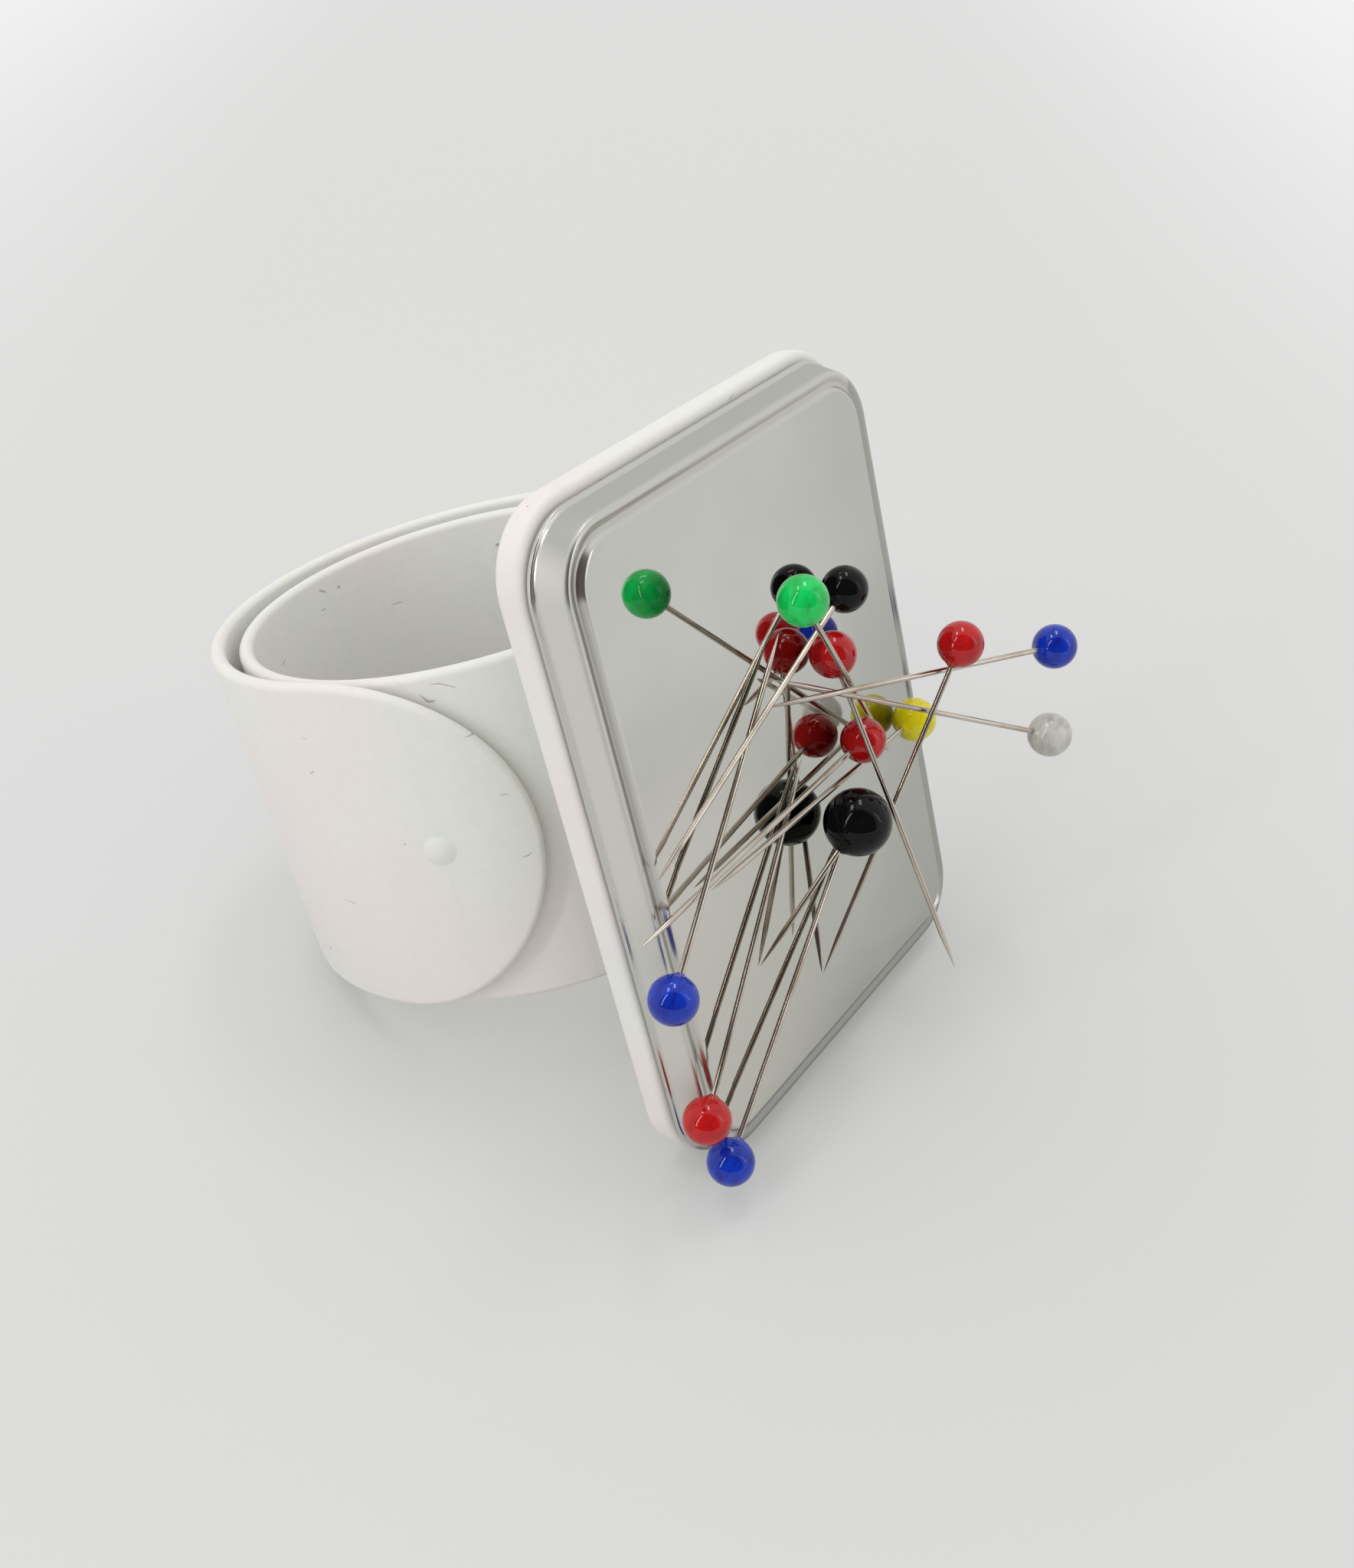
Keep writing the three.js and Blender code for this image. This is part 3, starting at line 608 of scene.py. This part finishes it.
# %% [markdown]
# The band is the main piece, and its shape follows one rule: from the tray's middle each arm curls
# round the wrist with a radius that changes slowly along it. Walking along the arm in small steps, and
# turning a little at each, gives the middle line. It is the same rule as in the model, so the skin lies
# on the solids.

# %% The band's middle line
ARM_LENGTH = 142
LINKS = 7
MOUNT_HALF = 8
BAND_FLAT = 1.5
BAND_DEPTH = 8.2
BAND_WIDTH = 36
BAND_THICKNESS = 1.5
LAYER_GAP = 0.34
INNER_RADII = (23.6, 22.7, 21.3)
OUTER_LAYERS = (-0.43, 1.96, 1.74)
OUTER_RADII = tuple(r + k * (BAND_THICKNESS + LAYER_GAP) for r, k in zip(INNER_RADII, OUTER_LAYERS))
ARMS = {"outer": (1, OUTER_RADII, 1.2), "inner": (-1, INNER_RADII, 0.4)}  # side, radii, climb
LINK_LENGTH = (ARM_LENGTH - MOUNT_HALF) / LINKS
PATH_STEP = 0.5


def radius_at(radii, distance):
    link = LINKS * (distance - BAND_FLAT) / (ARM_LENGTH - BAND_FLAT)
    t = min(max((link - 0.5) / (LINKS - 1), 0), 1)
    first, middle, last = radii
    return first * (1 - t) * (1 - 2 * t) + middle * 4 * t * (1 - t) + last * t * (2 * t - 1)


def walk(side, radii):
    """The middle line as rows of x, y and heading."""
    rows = [(0.0, BAND_DEPTH, 0.0 if side > 0 else math.pi)]
    steps = round(ARM_LENGTH / PATH_STEP)
    length = ARM_LENGTH / steps
    for i in range(steps):
        x, y, heading = rows[-1]
        distance = (i + 0.5) * length
        bend = 0.0 if distance < BAND_FLAT else side * length / radius_at(radii, distance)
        x += length * math.cos(heading + bend / 2)
        y += length * math.sin(heading + bend / 2)
        rows.append((x, y, heading + bend))
    return np.array(rows)


LINES = {arm: walk(side, radii) for arm, (side, radii, _) in ARMS.items()}


def on_band(arm, distance, out=0.0, across=0.0):
    """A point of the band in the plate's axes: out is away from the coil's inside, across is up it."""
    side, _, climb = ARMS[arm]
    line = LINES[arm]
    at = np.clip(distance / ARM_LENGTH, 0, 1) * (len(line) - 1)
    x, y, heading = (np.interp(at, np.arange(len(line)), line[:, k]) for k in range(3))
    return Vector((
        x + out * side * math.sin(heading),
        y - out * side * math.cos(heading),
        across + climb * distance / ARM_LENGTH,
    ))


hinge = next(joint for joint in frame["joints"] if joint["name"] == "outer_hinge_3")
miss = (in_frame(on_band("outer", MOUNT_HALF + 2 * LINK_LENGTH)) - Vector(hinge["pos_m"])).length
print("distance from the third hinge's axis in mm:", round(miss / MM, 4))

# %% [markdown]
# A Geometry Nodes tree sweeps the band's section along that line. The middle line comes in as a chain
# of points that know their distance along the arm and which way is out. The tree puts a ring of section
# points on each and moves every point to its place: near the arm's tip the ring narrows so that the end
# is a half disc, and its edge stays round all the way. The same tree makes the silicone and the steel
# strip inside it.

# %% The band's tree
BAND_SIZES = ("Width", "Thickness", "Corner", "Arm Length")
QUAD_CORNERS = 4
MERGE = 1e-6  # at the very tip the ring's points meet, and become one


def tree_inputs(tree, floats, whole_numbers=()):
    """Opens a tree: geometry first, then the named sizes, and the finish last."""
    face = tree.interface
    face.new_socket("Geometry", in_out="INPUT", socket_type="NodeSocketGeometry")
    for name in floats:
        face.new_socket(name, in_out="INPUT", socket_type="NodeSocketFloat")
    for name in whole_numbers:
        face.new_socket(name, in_out="INPUT", socket_type="NodeSocketInt")
    face.new_socket("Finish", in_out="INPUT", socket_type="NodeSocketMaterial")
    face.new_socket("Geometry", in_out="OUTPUT", socket_type="NodeSocketGeometry")
    return tree.nodes.new("NodeGroupInput").outputs


def close_tree(recipe, shape, finish):
    """Ends a tree: the shape is made real and gets its finish."""
    real = recipe.add("GeometryNodeRealizeInstances", {0: shape})
    made = recipe.add("GeometryNodeSetMaterial", {0: real, 2: finish})
    result = recipe.tree.nodes.new("NodeGroupOutput")
    recipe.tree.links.new(made, result.inputs[0])


def store_number(recipe, loop):
    """Numbers the points of the section, so that they still know their place once they are swept."""
    inputs = {0: loop, 2: "number", 3: recipe.add("GeometryNodeInputIndex")}
    return recipe.add("GeometryNodeStoreNamedAttribute", inputs, data_type="FLOAT", domain="POINT")


def known(recipe, name, kind="FLOAT"):
    """A value that the points of the line carry, by its name."""
    return recipe.add("GeometryNodeInputNamedAttribute", {0: name}, data_type=kind)


def make_band_tree():
    tree = bpy.data.node_groups.new("band_section_along_a_line", "GeometryNodeTree")
    recipe = Recipe(tree)
    given = tree_inputs(tree, BAND_SIZES, ("Rim Steps",))
    width, thickness, corner, arm_length, rim_steps, finish = given[1:7]
    rho = recipe.times(thickness, 0.5)

    # Two rims of steps + 1 points each, joined in one loop
    per_side = recipe.plus(rim_steps, 1.0)
    around = recipe.times(per_side, 2.0)
    loop = recipe.add("GeometryNodeCurvePrimitiveCircle", {"Resolution": around, "Radius": 0.001})
    line = recipe.add("GeometryNodeMeshToCurve", {0: given[0]})
    swept = recipe.add("GeometryNodeCurveToMesh", {0: line, 1: store_number(recipe, loop), 3: True})
    number = recipe.math("ROUND", known(recipe, "number"))
    far_side = recipe.math("GREATER_THAN", number, recipe.minus(per_side, 0.5))
    side = recipe.minus(1.0, recipe.times(far_side, 2.0))
    place = recipe.math("MODULO", number, per_side)
    share = recipe.math("DIVIDE", place, rim_steps)
    quarter = recipe.times(recipe.minus(0.5, share), math.pi)
    angle = recipe.times(quarter, side)

    # The half disc at the tip: how far past its centre line, and how deep under its edge
    past = recipe.minus(recipe.plus(known(recipe, "distance"), corner), arm_length)
    past = recipe.math("MAXIMUM", past, 0.0)
    edge = recipe.times(rho, recipe.minus(1.0, recipe.math("COSINE", angle)))
    reach = recipe.minus(corner, edge)
    room = recipe.minus(recipe.math("POWER", reach, 2.0), recipe.math("POWER", past, 2.0))
    half = recipe.math("SQRT", recipe.math("MAXIMUM", room, 0.0))
    straight = recipe.minus(recipe.times(width, 0.5), corner)
    across = recipe.times(side, recipe.plus(straight, half))
    depth = recipe.math("MINIMUM", recipe.minus(corner, past), rho)
    fall = recipe.math("DIVIDE", recipe.minus(rho, depth), rho)
    round_off = recipe.minus(1.0, recipe.math("POWER", fall, 2.0))
    round_off = recipe.math("SQRT", recipe.math("MAXIMUM", round_off, 0.0))
    most = recipe.times(rho, round_off)
    height = recipe.times(rho, recipe.math("SINE", angle))
    out = recipe.math("MAXIMUM", height, recipe.times(most, -1.0))
    out = recipe.math("MINIMUM", out, most)

    # Each point goes to its place; only the flat caps at the ends are shaded flat
    directions = ("base", "outward", "upward")
    base, outward, upward = (known(recipe, name, "FLOAT_VECTOR") for name in directions)
    spot = recipe.vector("ADD", base, recipe.scaled(outward, out))
    spot = recipe.vector("ADD", spot, recipe.scaled(upward, across))
    moved = recipe.add("GeometryNodeSetPosition", {0: swept, 2: spot})
    corners = recipe.add("GeometryNodeInputMeshFaceNeighbors")
    is_cap = recipe.math("GREATER_THAN", corners, QUAD_CORNERS + 0.5)
    shaded = recipe.add("GeometryNodeSetShadeSmooth", {0: moved, 1: is_cap, 2: False})
    welded = recipe.add("GeometryNodeMergeByDistance", {0: shaded, 2: MERGE})
    close_tree(recipe, welded, finish)
    return tree


BAND_TREE = make_band_tree()
print("band tree nodes:", len(BAND_TREE.nodes))

# %% [markdown]
# A tree works on an object through a modifier. Here it is only a tool: the result is copied to a plain
# mesh, and the modifier and its object are taken away again, so that every piece ends as a mesh that
# stands alone. Named attributes carry what each point of the line knows.


# %% Run a tree and keep its result as a plain mesh
def run_tree(name, source_mesh, tree, values, material):
    """Runs the tree on the mesh with the named inputs and returns a new object with the result."""
    values = {**values, "Finish": material}
    worker = bpy.data.objects.new(name + "_source", source_mesh)
    bpy.context.scene.collection.objects.link(worker)
    modifier = worker.modifiers.new("tree", "NODES")
    modifier.node_group = tree
    for item in tree.interface.items_tree:
        if item.in_out == "INPUT" and item.name in values:
            modifier[item.identifier] = values[item.name]
    shown = bpy.context.evaluated_depsgraph_get()
    mesh = bpy.data.meshes.new_from_object(worker.evaluated_get(shown))
    mesh.name = name
    worker.modifiers.remove(modifier)
    bpy.data.objects.remove(worker)
    finish_mesh(mesh)
    return new_object(name, mesh, material)


def band_line(arm, stations):
    """A chain of points along the arm that carries what the band's tree asks for."""
    mesh = bpy.data.meshes.new("line")
    points = [in_frame(on_band(arm, distance)) for distance in stations]
    mesh.from_pydata(points, [(i, i + 1) for i in range(len(points) - 1)], [])
    outward = [in_frame(on_band(arm, d, 1.0)) - p for d, p in zip(stations, points)]
    values = {
        "distance": ("FLOAT", "value", [d * MM for d in stations]),
        "base": ("FLOAT_VECTOR", "vector", [c for p in points for c in p]),
        "outward": ("FLOAT_VECTOR", "vector", [c for v in outward for c in v.normalized()]),
        "upward": ("FLOAT_VECTOR", "vector", [c for _ in points for c in UPWARD]),
    }
    for name, (kind, field, numbers) in values.items():
        attribute = mesh.attributes.new(name, kind, "POINT")
        attribute.data.foreach_set(field, numbers)
    return mesh


# %% [markdown]
# The real band is one piece that bends all along. In the model its links turn about hinges, so the skin
# is cut in the middle of each link instead, and each piece reaches across one hinge. A thin extra ring
# beside each cut keeps the shading even there.

# %% Band pieces
STATION_STEP = 1.1
SEAM_RING = 0.06
STRIP_WIDTH = 26
STRIP_THICKNESS = 0.2
STRIP_CORNER = 6
STRIP_END = 10
TIP_STEPS = 48  # small steps round the half disc at the tip
LEAST_STEP = 0.02
# Width, thickness, corner radius, distance to the tip, steps round a rim, finish and slot
SLEEVE = (BAND_WIDTH, BAND_THICKNESS, BAND_WIDTH / 2, ARM_LENGTH, 12, SILICONE, "band_silicone")
STRIP = (STRIP_WIDTH, STRIP_THICKNESS, STRIP_CORNER, ARM_LENGTH - STRIP_END, 2, SNAP_STEEL, "snap_steel")


def stations_for(start, end, tip, corner):
    """Distances along the arm: even steps, with small ones beside the cuts and round the tip."""
    straight_end = min(end, max(start, tip - corner))
    count = max(2, round((straight_end - start) / STATION_STEP))
    places = list(np.linspace(start, straight_end, count + 1))
    places += [start + SEAM_RING, end - SEAM_RING]
    for step in range(1, TIP_STEPS + 1):
        around = tip - corner + corner * math.sin(step / TIP_STEPS * math.pi / 2)
        if start < around <= end:
            places.append(around)
    if end < tip:
        places.append(end)
    places = sorted(set(round(float(p), 4) for p in places))
    kept = [places[0]]
    for place in places[1:]:
        if place - kept[-1] > LEAST_STEP or place == places[-1]:
            kept.append(place)
    return kept


def band_piece(name, arm, start, end, design):
    corner, tip, steps, material, slot = design[2:]
    values = {name: size * MM for name, size in zip(BAND_SIZES, design)}
    values["Rim Steps"] = steps
    line = band_line(arm, stations_for(start, end, tip, corner))
    piece = run_tree(name, line, BAND_TREE, values, material)
    return piece


# %% [markdown]
# The pieces between the links are made where they lie, and only the tip follows a link: the last one.


# %% The band, link by link
def link_middle(number):
    """Distance of a link's middle; link 0 is the length that is moulded to the tray."""
    return 0.0 if number == 0 else MOUNT_HALF + (number - 0.5) * LINK_LENGTH


def body_name(arm, number):
    return "root" if number == 0 else f"{arm}_link_{number}"


def make_band():
    for arm in ARMS:
        for number in range(LINKS):
            start, end = link_middle(number), link_middle(number + 1)
            skin = band_piece(f"{arm}_skin_{number + 1}", arm, start, end, SLEEVE)
            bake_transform(skin)
            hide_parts(f"{arm}_sleeve_{number + 1}")
            strip_end = min(end, ARM_LENGTH - STRIP_END)
            strip = band_piece(f"{arm}_snap_{number + 1}", arm, start, strip_end, STRIP)
            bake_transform(strip)
            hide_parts(f"{arm}_strip_{number + 1}")
            if number == 0:
                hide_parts("mount_strip")
        tip = band_piece(f"{arm}_skin_tip", arm, link_middle(LINKS), ARM_LENGTH, SLEEVE)
        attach(tip, body_name(arm, LINKS))
        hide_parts(f"{arm}_sleeve_{LINKS}")


make_band()

# %% [markdown]
# A small round nub is moulded on the outside of the outer arm near its tip. It is a low dome on a soft
# fillet, turned about the band's outward direction, so its rings are circles that sink a little into
# the band.

# %% Nub
NUB_FROM_TIP = 9.7
NUB_RADIUS = 1.35
NUB_RISE = 0.4
NUB_FLARE = 0.3
NUB_ROOT = 0.25  # the lowest ring is this deep in the band
NUB_TOP = 0.02  # and the highest is this small
NUB_RINGS = 24
NUB_SIDES = 40


def bell(t):
    """The rise from 0 to 1: it starts softly, swells, and is level at the top."""
    return (1 - (1 - t) ** 2.4) ** 1.6


def make_nub():
    distance = ARM_LENGTH - NUB_FROM_TIP
    surface = BAND_THICKNESS / 2
    foot = NUB_RADIUS + NUB_FLARE
    profile = [(foot, -NUB_ROOT)]
    for step in range(NUB_RINGS + 1):
        t = step / NUB_RINGS
        profile.append((foot * (1 - t) + NUB_TOP, NUB_RISE * bell(t)))
    rings = []
    for radius, rise in profile:
        ring = []
        for step in range(NUB_SIDES):
            angle = step / NUB_SIDES * 2 * math.pi
            along = distance + radius * math.cos(angle)
            ring.append(on_band("outer", along, surface + rise, radius * math.sin(angle)))
        rings.append(ring)
    nub = loft("band_nub", rings, SILICONE)
    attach(nub, body_name("outer", LINKS))
    return nub


print("nub faces:", len(make_nub().data.polygons))

# %% [markdown]
# The bridge behind the tray can't be seen in the photograph, only the gap beside it. It is a short
# block with flared sides, moulded in one with the tray and the band, so it starts inside the tray and
# ends inside the band.

# %% Bridge
BRIDGE_HALF = 6
BRIDGE_HEIGHT = 30
BRIDGE_FLARE = 0.8
BRIDGE_CORNER = 2.0
BRIDGE_START = TRAY_BACK - 1
BRIDGE_END = BAND_DEPTH - 0.4
BRIDGE_LEVELS = 12


def make_bridge():
    rings = []
    for level_number in range(BRIDGE_LEVELS + 1):
        t = level_number / BRIDGE_LEVELS
        y = BRIDGE_START + (BRIDGE_END - BRIDGE_START) * t
        flare = BRIDGE_FLARE * (2 * t - 1) ** 4
        size = (2 * (BRIDGE_HALF + flare), BRIDGE_HEIGHT + 2 * flare, BRIDGE_CORNER)
        rings.append(rounded_ring(*size, 0.0, y))
    bridge = loft("tray_bridge", rings, SILICONE)
    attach(bridge, "root")
    return bridge


print("bridge faces:", len(make_bridge().data.polygons))

# %% [markdown]
# Twelve pins repeat one design at two sizes, so two small trees make them all: a shaft that tapers to
# its point, and a bead with a short neck where the plastic ran down the steel. The trees draw a pin
# upright at the origin.

# %% The pin's trees
SHAFT_RINGS = 90
SHAFT_SIDES = 20
POINT_TIP = 0.004  # the radius's share at the very point
POINT_SWELL = 0.65  # below 1 the point is full, like a sewing pin's
BEAD_SEGMENTS = 56
BEAD_RINGS = 36
NECK_START = -0.955  # the neck begins this far below the bead's middle, as a share of its radius


def make_shaft_tree():
    tree = bpy.data.node_groups.new("pin_shaft", "GeometryNodeTree")
    recipe = Recipe(tree)
    length, radius, point_length, finish = tree_inputs(tree, ("Length", "Radius", "Point Length"))[1:5]
    top = recipe.add("ShaderNodeCombineXYZ", {2: length})
    line = recipe.add("GeometryNodeCurvePrimitiveLine", {1: top})
    line = recipe.add("GeometryNodeResampleCurve", {0: line, 2: SHAFT_RINGS})
    along = recipe.add("GeometryNodeSplineParameter", out=1)
    share = recipe.math("MINIMUM", recipe.math("DIVIDE", along, point_length), 1.0)
    swell = recipe.math("POWER", recipe.math("MAXIMUM", share, POINT_TIP), POINT_SWELL)
    ring = recipe.add("GeometryNodeCurvePrimitiveCircle", {"Resolution": SHAFT_SIDES, "Radius": radius})
    tube = recipe.add("GeometryNodeCurveToMesh", {0: line, 1: ring, "Scale": swell, "Fill Caps": True})
    close_tree(recipe, tube, finish)
    return tree


def make_bead_tree():
    tree = bpy.data.node_groups.new("pin_bead", "GeometryNodeTree")
    recipe = Recipe(tree)
    height, radius, neck, finish = tree_inputs(tree, ("Height", "Radius", "Neck"))[1:5]
    round_parts = {"Segments": BEAD_SEGMENTS, "Rings": BEAD_RINGS, "Radius": radius}
    ball = recipe.add("GeometryNodeMeshUVSphere", round_parts)
    place = recipe.add("GeometryNodeInputPosition")
    level_of = recipe.add("ShaderNodeSeparateXYZ", {0: place}, out=2)
    share = recipe.math("DIVIDE", level_of, radius)
    pull = recipe.times(recipe.step(share, -1.0, NECK_START, 1.0, 0.0), neck)
    drop = recipe.minus(height, pull)
    offset = recipe.add("ShaderNodeCombineXYZ", {2: drop})
    bead = recipe.add("GeometryNodeSetPosition", {0: ball, 3: offset})
    close_tree(recipe, bead, finish)
    return tree


SHAFT_TREE = make_shaft_tree()
BEAD_TREE = make_bead_tree()
print("shaft and bead tree nodes:", len(SHAFT_TREE.nodes), len(BEAD_TREE.nodes))

# %% [markdown]
# A pin's solids say where it lies. The shaft's vertex farthest from the bead is its point, and the
# vertices at the other end lie round the middle of the shaft's end. The bead's far side then gives its
# radius, because the shaft is known to run a fixed depth into the bead.

# %% The pins
BEAD_BORE_DEPTH = 1.6 * MM  # how far a shaft runs into its bead
SHAFT_RADIUS = 0.28 * MM
SHAFT_END = 0.05 * MM  # vertices this near the farthest one are the shaft's end
POINT_LENGTH = 4 * MM
NECK = 0.18 * MM
SHARP_EDGE = math.radians(50)


def pin_place(pin):
    """Point, direction towards the bead, distance to the bead's middle, bead radius and shaft length."""
    shaft = np.array([v.co for v in frame["nodes"][pin + "_shaft"].data.vertices])
    bead = np.array([v.co for v in frame["nodes"][pin + "_bead"].data.vertices])
    point = shaft[np.argmax(np.linalg.norm(shaft - bead.mean(0), axis=1))]
    far = shaft[np.linalg.norm(shaft - point, axis=1).argmax()] - point
    reach = (shaft - point) @ far / np.linalg.norm(far)
    end = shaft[reach > reach.max() - SHAFT_END]
    end = (end.min(0) + end.max(0)) / 2
    shaft_length = np.linalg.norm(end - point)
    heading = (end - point) / shaft_length
    top = ((bead - point) @ heading).max()
    radius = (top - shaft_length + BEAD_BORE_DEPTH) / 2
    return Vector(point), Vector(heading), top - radius, radius, shaft_length


def make_pin(pin):
    point, heading, bead_height, radius, shaft_length = pin_place(pin)
    empty = bpy.data.meshes.new("start")
    stand = Matrix.Translation(point) @ heading.to_track_quat("Z", "Y").to_matrix().to_4x4()
    color = BEAD_OF[pin]
    shaft_values = {"Length": shaft_length, "Radius": SHAFT_RADIUS, "Point Length": POINT_LENGTH}
    bead_values = {"Height": bead_height, "Radius": radius, "Neck": NECK}
    shaft = run_tree(pin + "_steel", empty, SHAFT_TREE, shaft_values, NICKEL)
    bead = run_tree(pin + "_ball", empty.copy(), BEAD_TREE, bead_values, BEAD_FINISHES[color])
    for piece, node, slot in ((shaft, "_shaft", "pin_nickel"), (bead, "_bead", "bead_" + color)):
        piece.data.transform(stand)
        piece.data.shade_smooth()
        piece.data.set_sharp_from_angle(angle=SHARP_EDGE)
        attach(piece, pin)
        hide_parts(pin + node)
    return bead_height + radius


total = {pin: make_pin(pin) for pin in BEAD_OF}
print("pin lengths in mm:", {pin: round(length / MM, 1) for pin, length in total.items()})

# %% [markdown]
# The magnet and its pad are flat slabs that nobody sees unless the cushion is opened, and their solids
# already have the right shape. They only need their finish.

# %% Hidden pieces
for node, material in (("magnet", FERRITE), ("adhesive_pad", FOAM)):
    mesh = frame["nodes"][node].data
    mesh.materials.clear()
    mesh.materials.append(material)
    print(node, "faces:", len(mesh.polygons))

# %% [markdown]
# The floor is a plain pale table. It is matt, keeps the object's soft shadow and grows paler with
# distance. Part of what the camera and the metal see of it is a glow of its own, more of it farther
# away, so that the table ends in a pale background without more light on the object. It isn't part of
# the object.

# %% Floor
FLOOR_SIZE = 3.0
SIDEWAYS = (0.57, -0.82, 0.0)  # along the floor, to the right in the picture
GLOW_COLORS = (paint(222, 222, 221), paint(246, 246, 246))  # in the picture's middle, and far aside


def sheet(name, width, height, material):
    mesh = bpy.data.meshes.new(name)
    x, y = width / 2, height / 2
    mesh.from_pydata([(-x, -y, 0), (x, -y, 0), (x, y, 0), (-x, y, 0)], [], [(0, 1, 2, 3)])
    return new_object(name, mesh, material)


def make_table_finish():
    material, recipe, shader, place = new_finish(
        "pale_table", paint(206, 206, 204), 0.85, Specular_IOR_Level=0.2)
    drift = recipe.step(recipe.noise(place, 5.0, 1.0), 0.35, 0.65)
    near = recipe.mix(drift, paint(211, 211, 211), paint(208, 209, 206))
    distance = recipe.add("ShaderNodeVectorMath", {0: place}, out=1, operation="LENGTH")
    middle = recipe.mix(recipe.step(distance, 0.06, 0.12), near, paint(212, 212, 211))
    color = recipe.mix(recipe.step(distance, 0.2, 0.75), middle, paint(228, 228, 228))
    recipe.feed(shader, Base_Color=color)

    # The glow: its colour pales to the sides, and its share grows with distance
    far_aside = recipe.step(recipe.math("ABSOLUTE", recipe.dot(place, SIDEWAYS)), 0.08, 0.27)
    glow = recipe.add("ShaderNodeEmission", {"Color": recipe.mix(far_aside, *GLOW_COLORS)})
    rays = recipe.tree.nodes.new("ShaderNodeLightPath").outputs
    seen = recipe.plus(rays["Is Camera Ray"], rays["Is Glossy Ray"])
    seen = recipe.math("MINIMUM", recipe.plus(seen, rays["Is Transmission Ray"]), 1.0)
    share = recipe.times(seen, recipe.step(distance, 0.03, 0.3, 0.25, 0.8))
    mixed = recipe.add("ShaderNodeMixShader", {0: share, 1: shader.outputs[0], 2: glow})
    recipe.feed(recipe.tree.nodes["Material Output"], Surface=mixed)
    return material


sheet("floor", FLOOR_SIZE, FLOOR_SIZE, make_table_finish())
print("floor in metres:", FLOOR_SIZE)

# %% [markdown]
# Beads and steel mirror the lamps as thin streaks, so the lamps' sizes and places matter as much as
# their strength. A tall narrow window stands on the left, a faint strip on the right, and two tubes
# hang overhead.

# %% Lamps
TARGET = Vector((0, 0, 0.03))  # what the lamps face


def away_from_target(azimuth, elevation):
    """The direction from the target, in degrees: azimuth 0 is towards -y, and 90 towards +x."""
    a, e = math.radians(azimuth), math.radians(elevation)
    return Vector((math.sin(a) * math.cos(e), -math.cos(a) * math.cos(e), math.sin(e)))


def add_lamp(name, place, size, power, upright=(0, 0, 1)):
    """An area light at a place, facing the target, with its long side along upright."""
    light = bpy.data.lights.new(name, "AREA")
    light.shape = "RECTANGLE"
    light.size, light.size_y = size
    light.energy = power
    lamp = bpy.data.objects.new(name, light)
    bpy.context.scene.collection.objects.link(lamp)
    back = (place - TARGET).normalized()
    side = Vector(upright).cross(back).normalized()
    facing = Matrix((side, back.cross(side), back)).transposed()
    lamp.matrix_world = Matrix.Translation(place) @ facing.to_4x4()


add_lamp("left_window", TARGET + away_from_target(-105, 32), (0.08, 1.0), 1.9)
add_lamp("right_strip", TARGET + away_from_target(22, 24), (0.1, 0.6), 0.3)
add_lamp("tube_left", Vector((-0.2, 0.27, 1.0)), (0.13, 0.3), 0.9, (0.89, 0.45, 0))
add_lamp("tube_right", Vector((0.28, 0.07, 1.0)), (0.13, 0.37), 1.0, (0.82, 0.57, 0))
print("lamps:", len(bpy.data.lights))

# %% [markdown]
# Most of the light is soft and comes from all round the pale room. One side of the room, to the left of
# the plate's front, lights as the rest does, but its mirror image is dim, as if a door to a darker room
# stood open there. This gives the beads their dark centres and the shafts their dark lines.

# %% Room
ROOM_STRENGTH = 0.86
DIM_COLOR = paint(90, 84, 78)
DIM_SIDE = away_from_target(-57, 20)
DIM_RIM = math.radians(64)  # the dim side fades in from here
DIM_CORE = math.radians(54)
DIM_MOST = 0.96


def light_room():
    world = bpy.data.worlds.new("room")
    world.use_nodes = True
    recipe = Recipe(world.node_tree)
    nearness = recipe.dot(recipe.add("ShaderNodeTexCoord", out=0), tuple(DIM_SIDE))
    dim = recipe.step(nearness, math.cos(DIM_RIM), math.cos(DIM_CORE), 0.0, DIM_MOST)
    dim = recipe.times(dim, recipe.add("ShaderNodeLightPath", out="Is Glossy Ray"))
    background = recipe.tree.nodes["Background"]
    recipe.feed(background, Color=recipe.mix(dim, (1.0, 1.0, 1.0, 1.0), DIM_COLOR))
    background.inputs["Strength"].default_value = ROOM_STRENGTH
    bpy.context.scene.world = world


light_room()
bpy.context.scene.view_settings.view_transform = "Standard"
print("room:", bpy.context.scene.world.name)
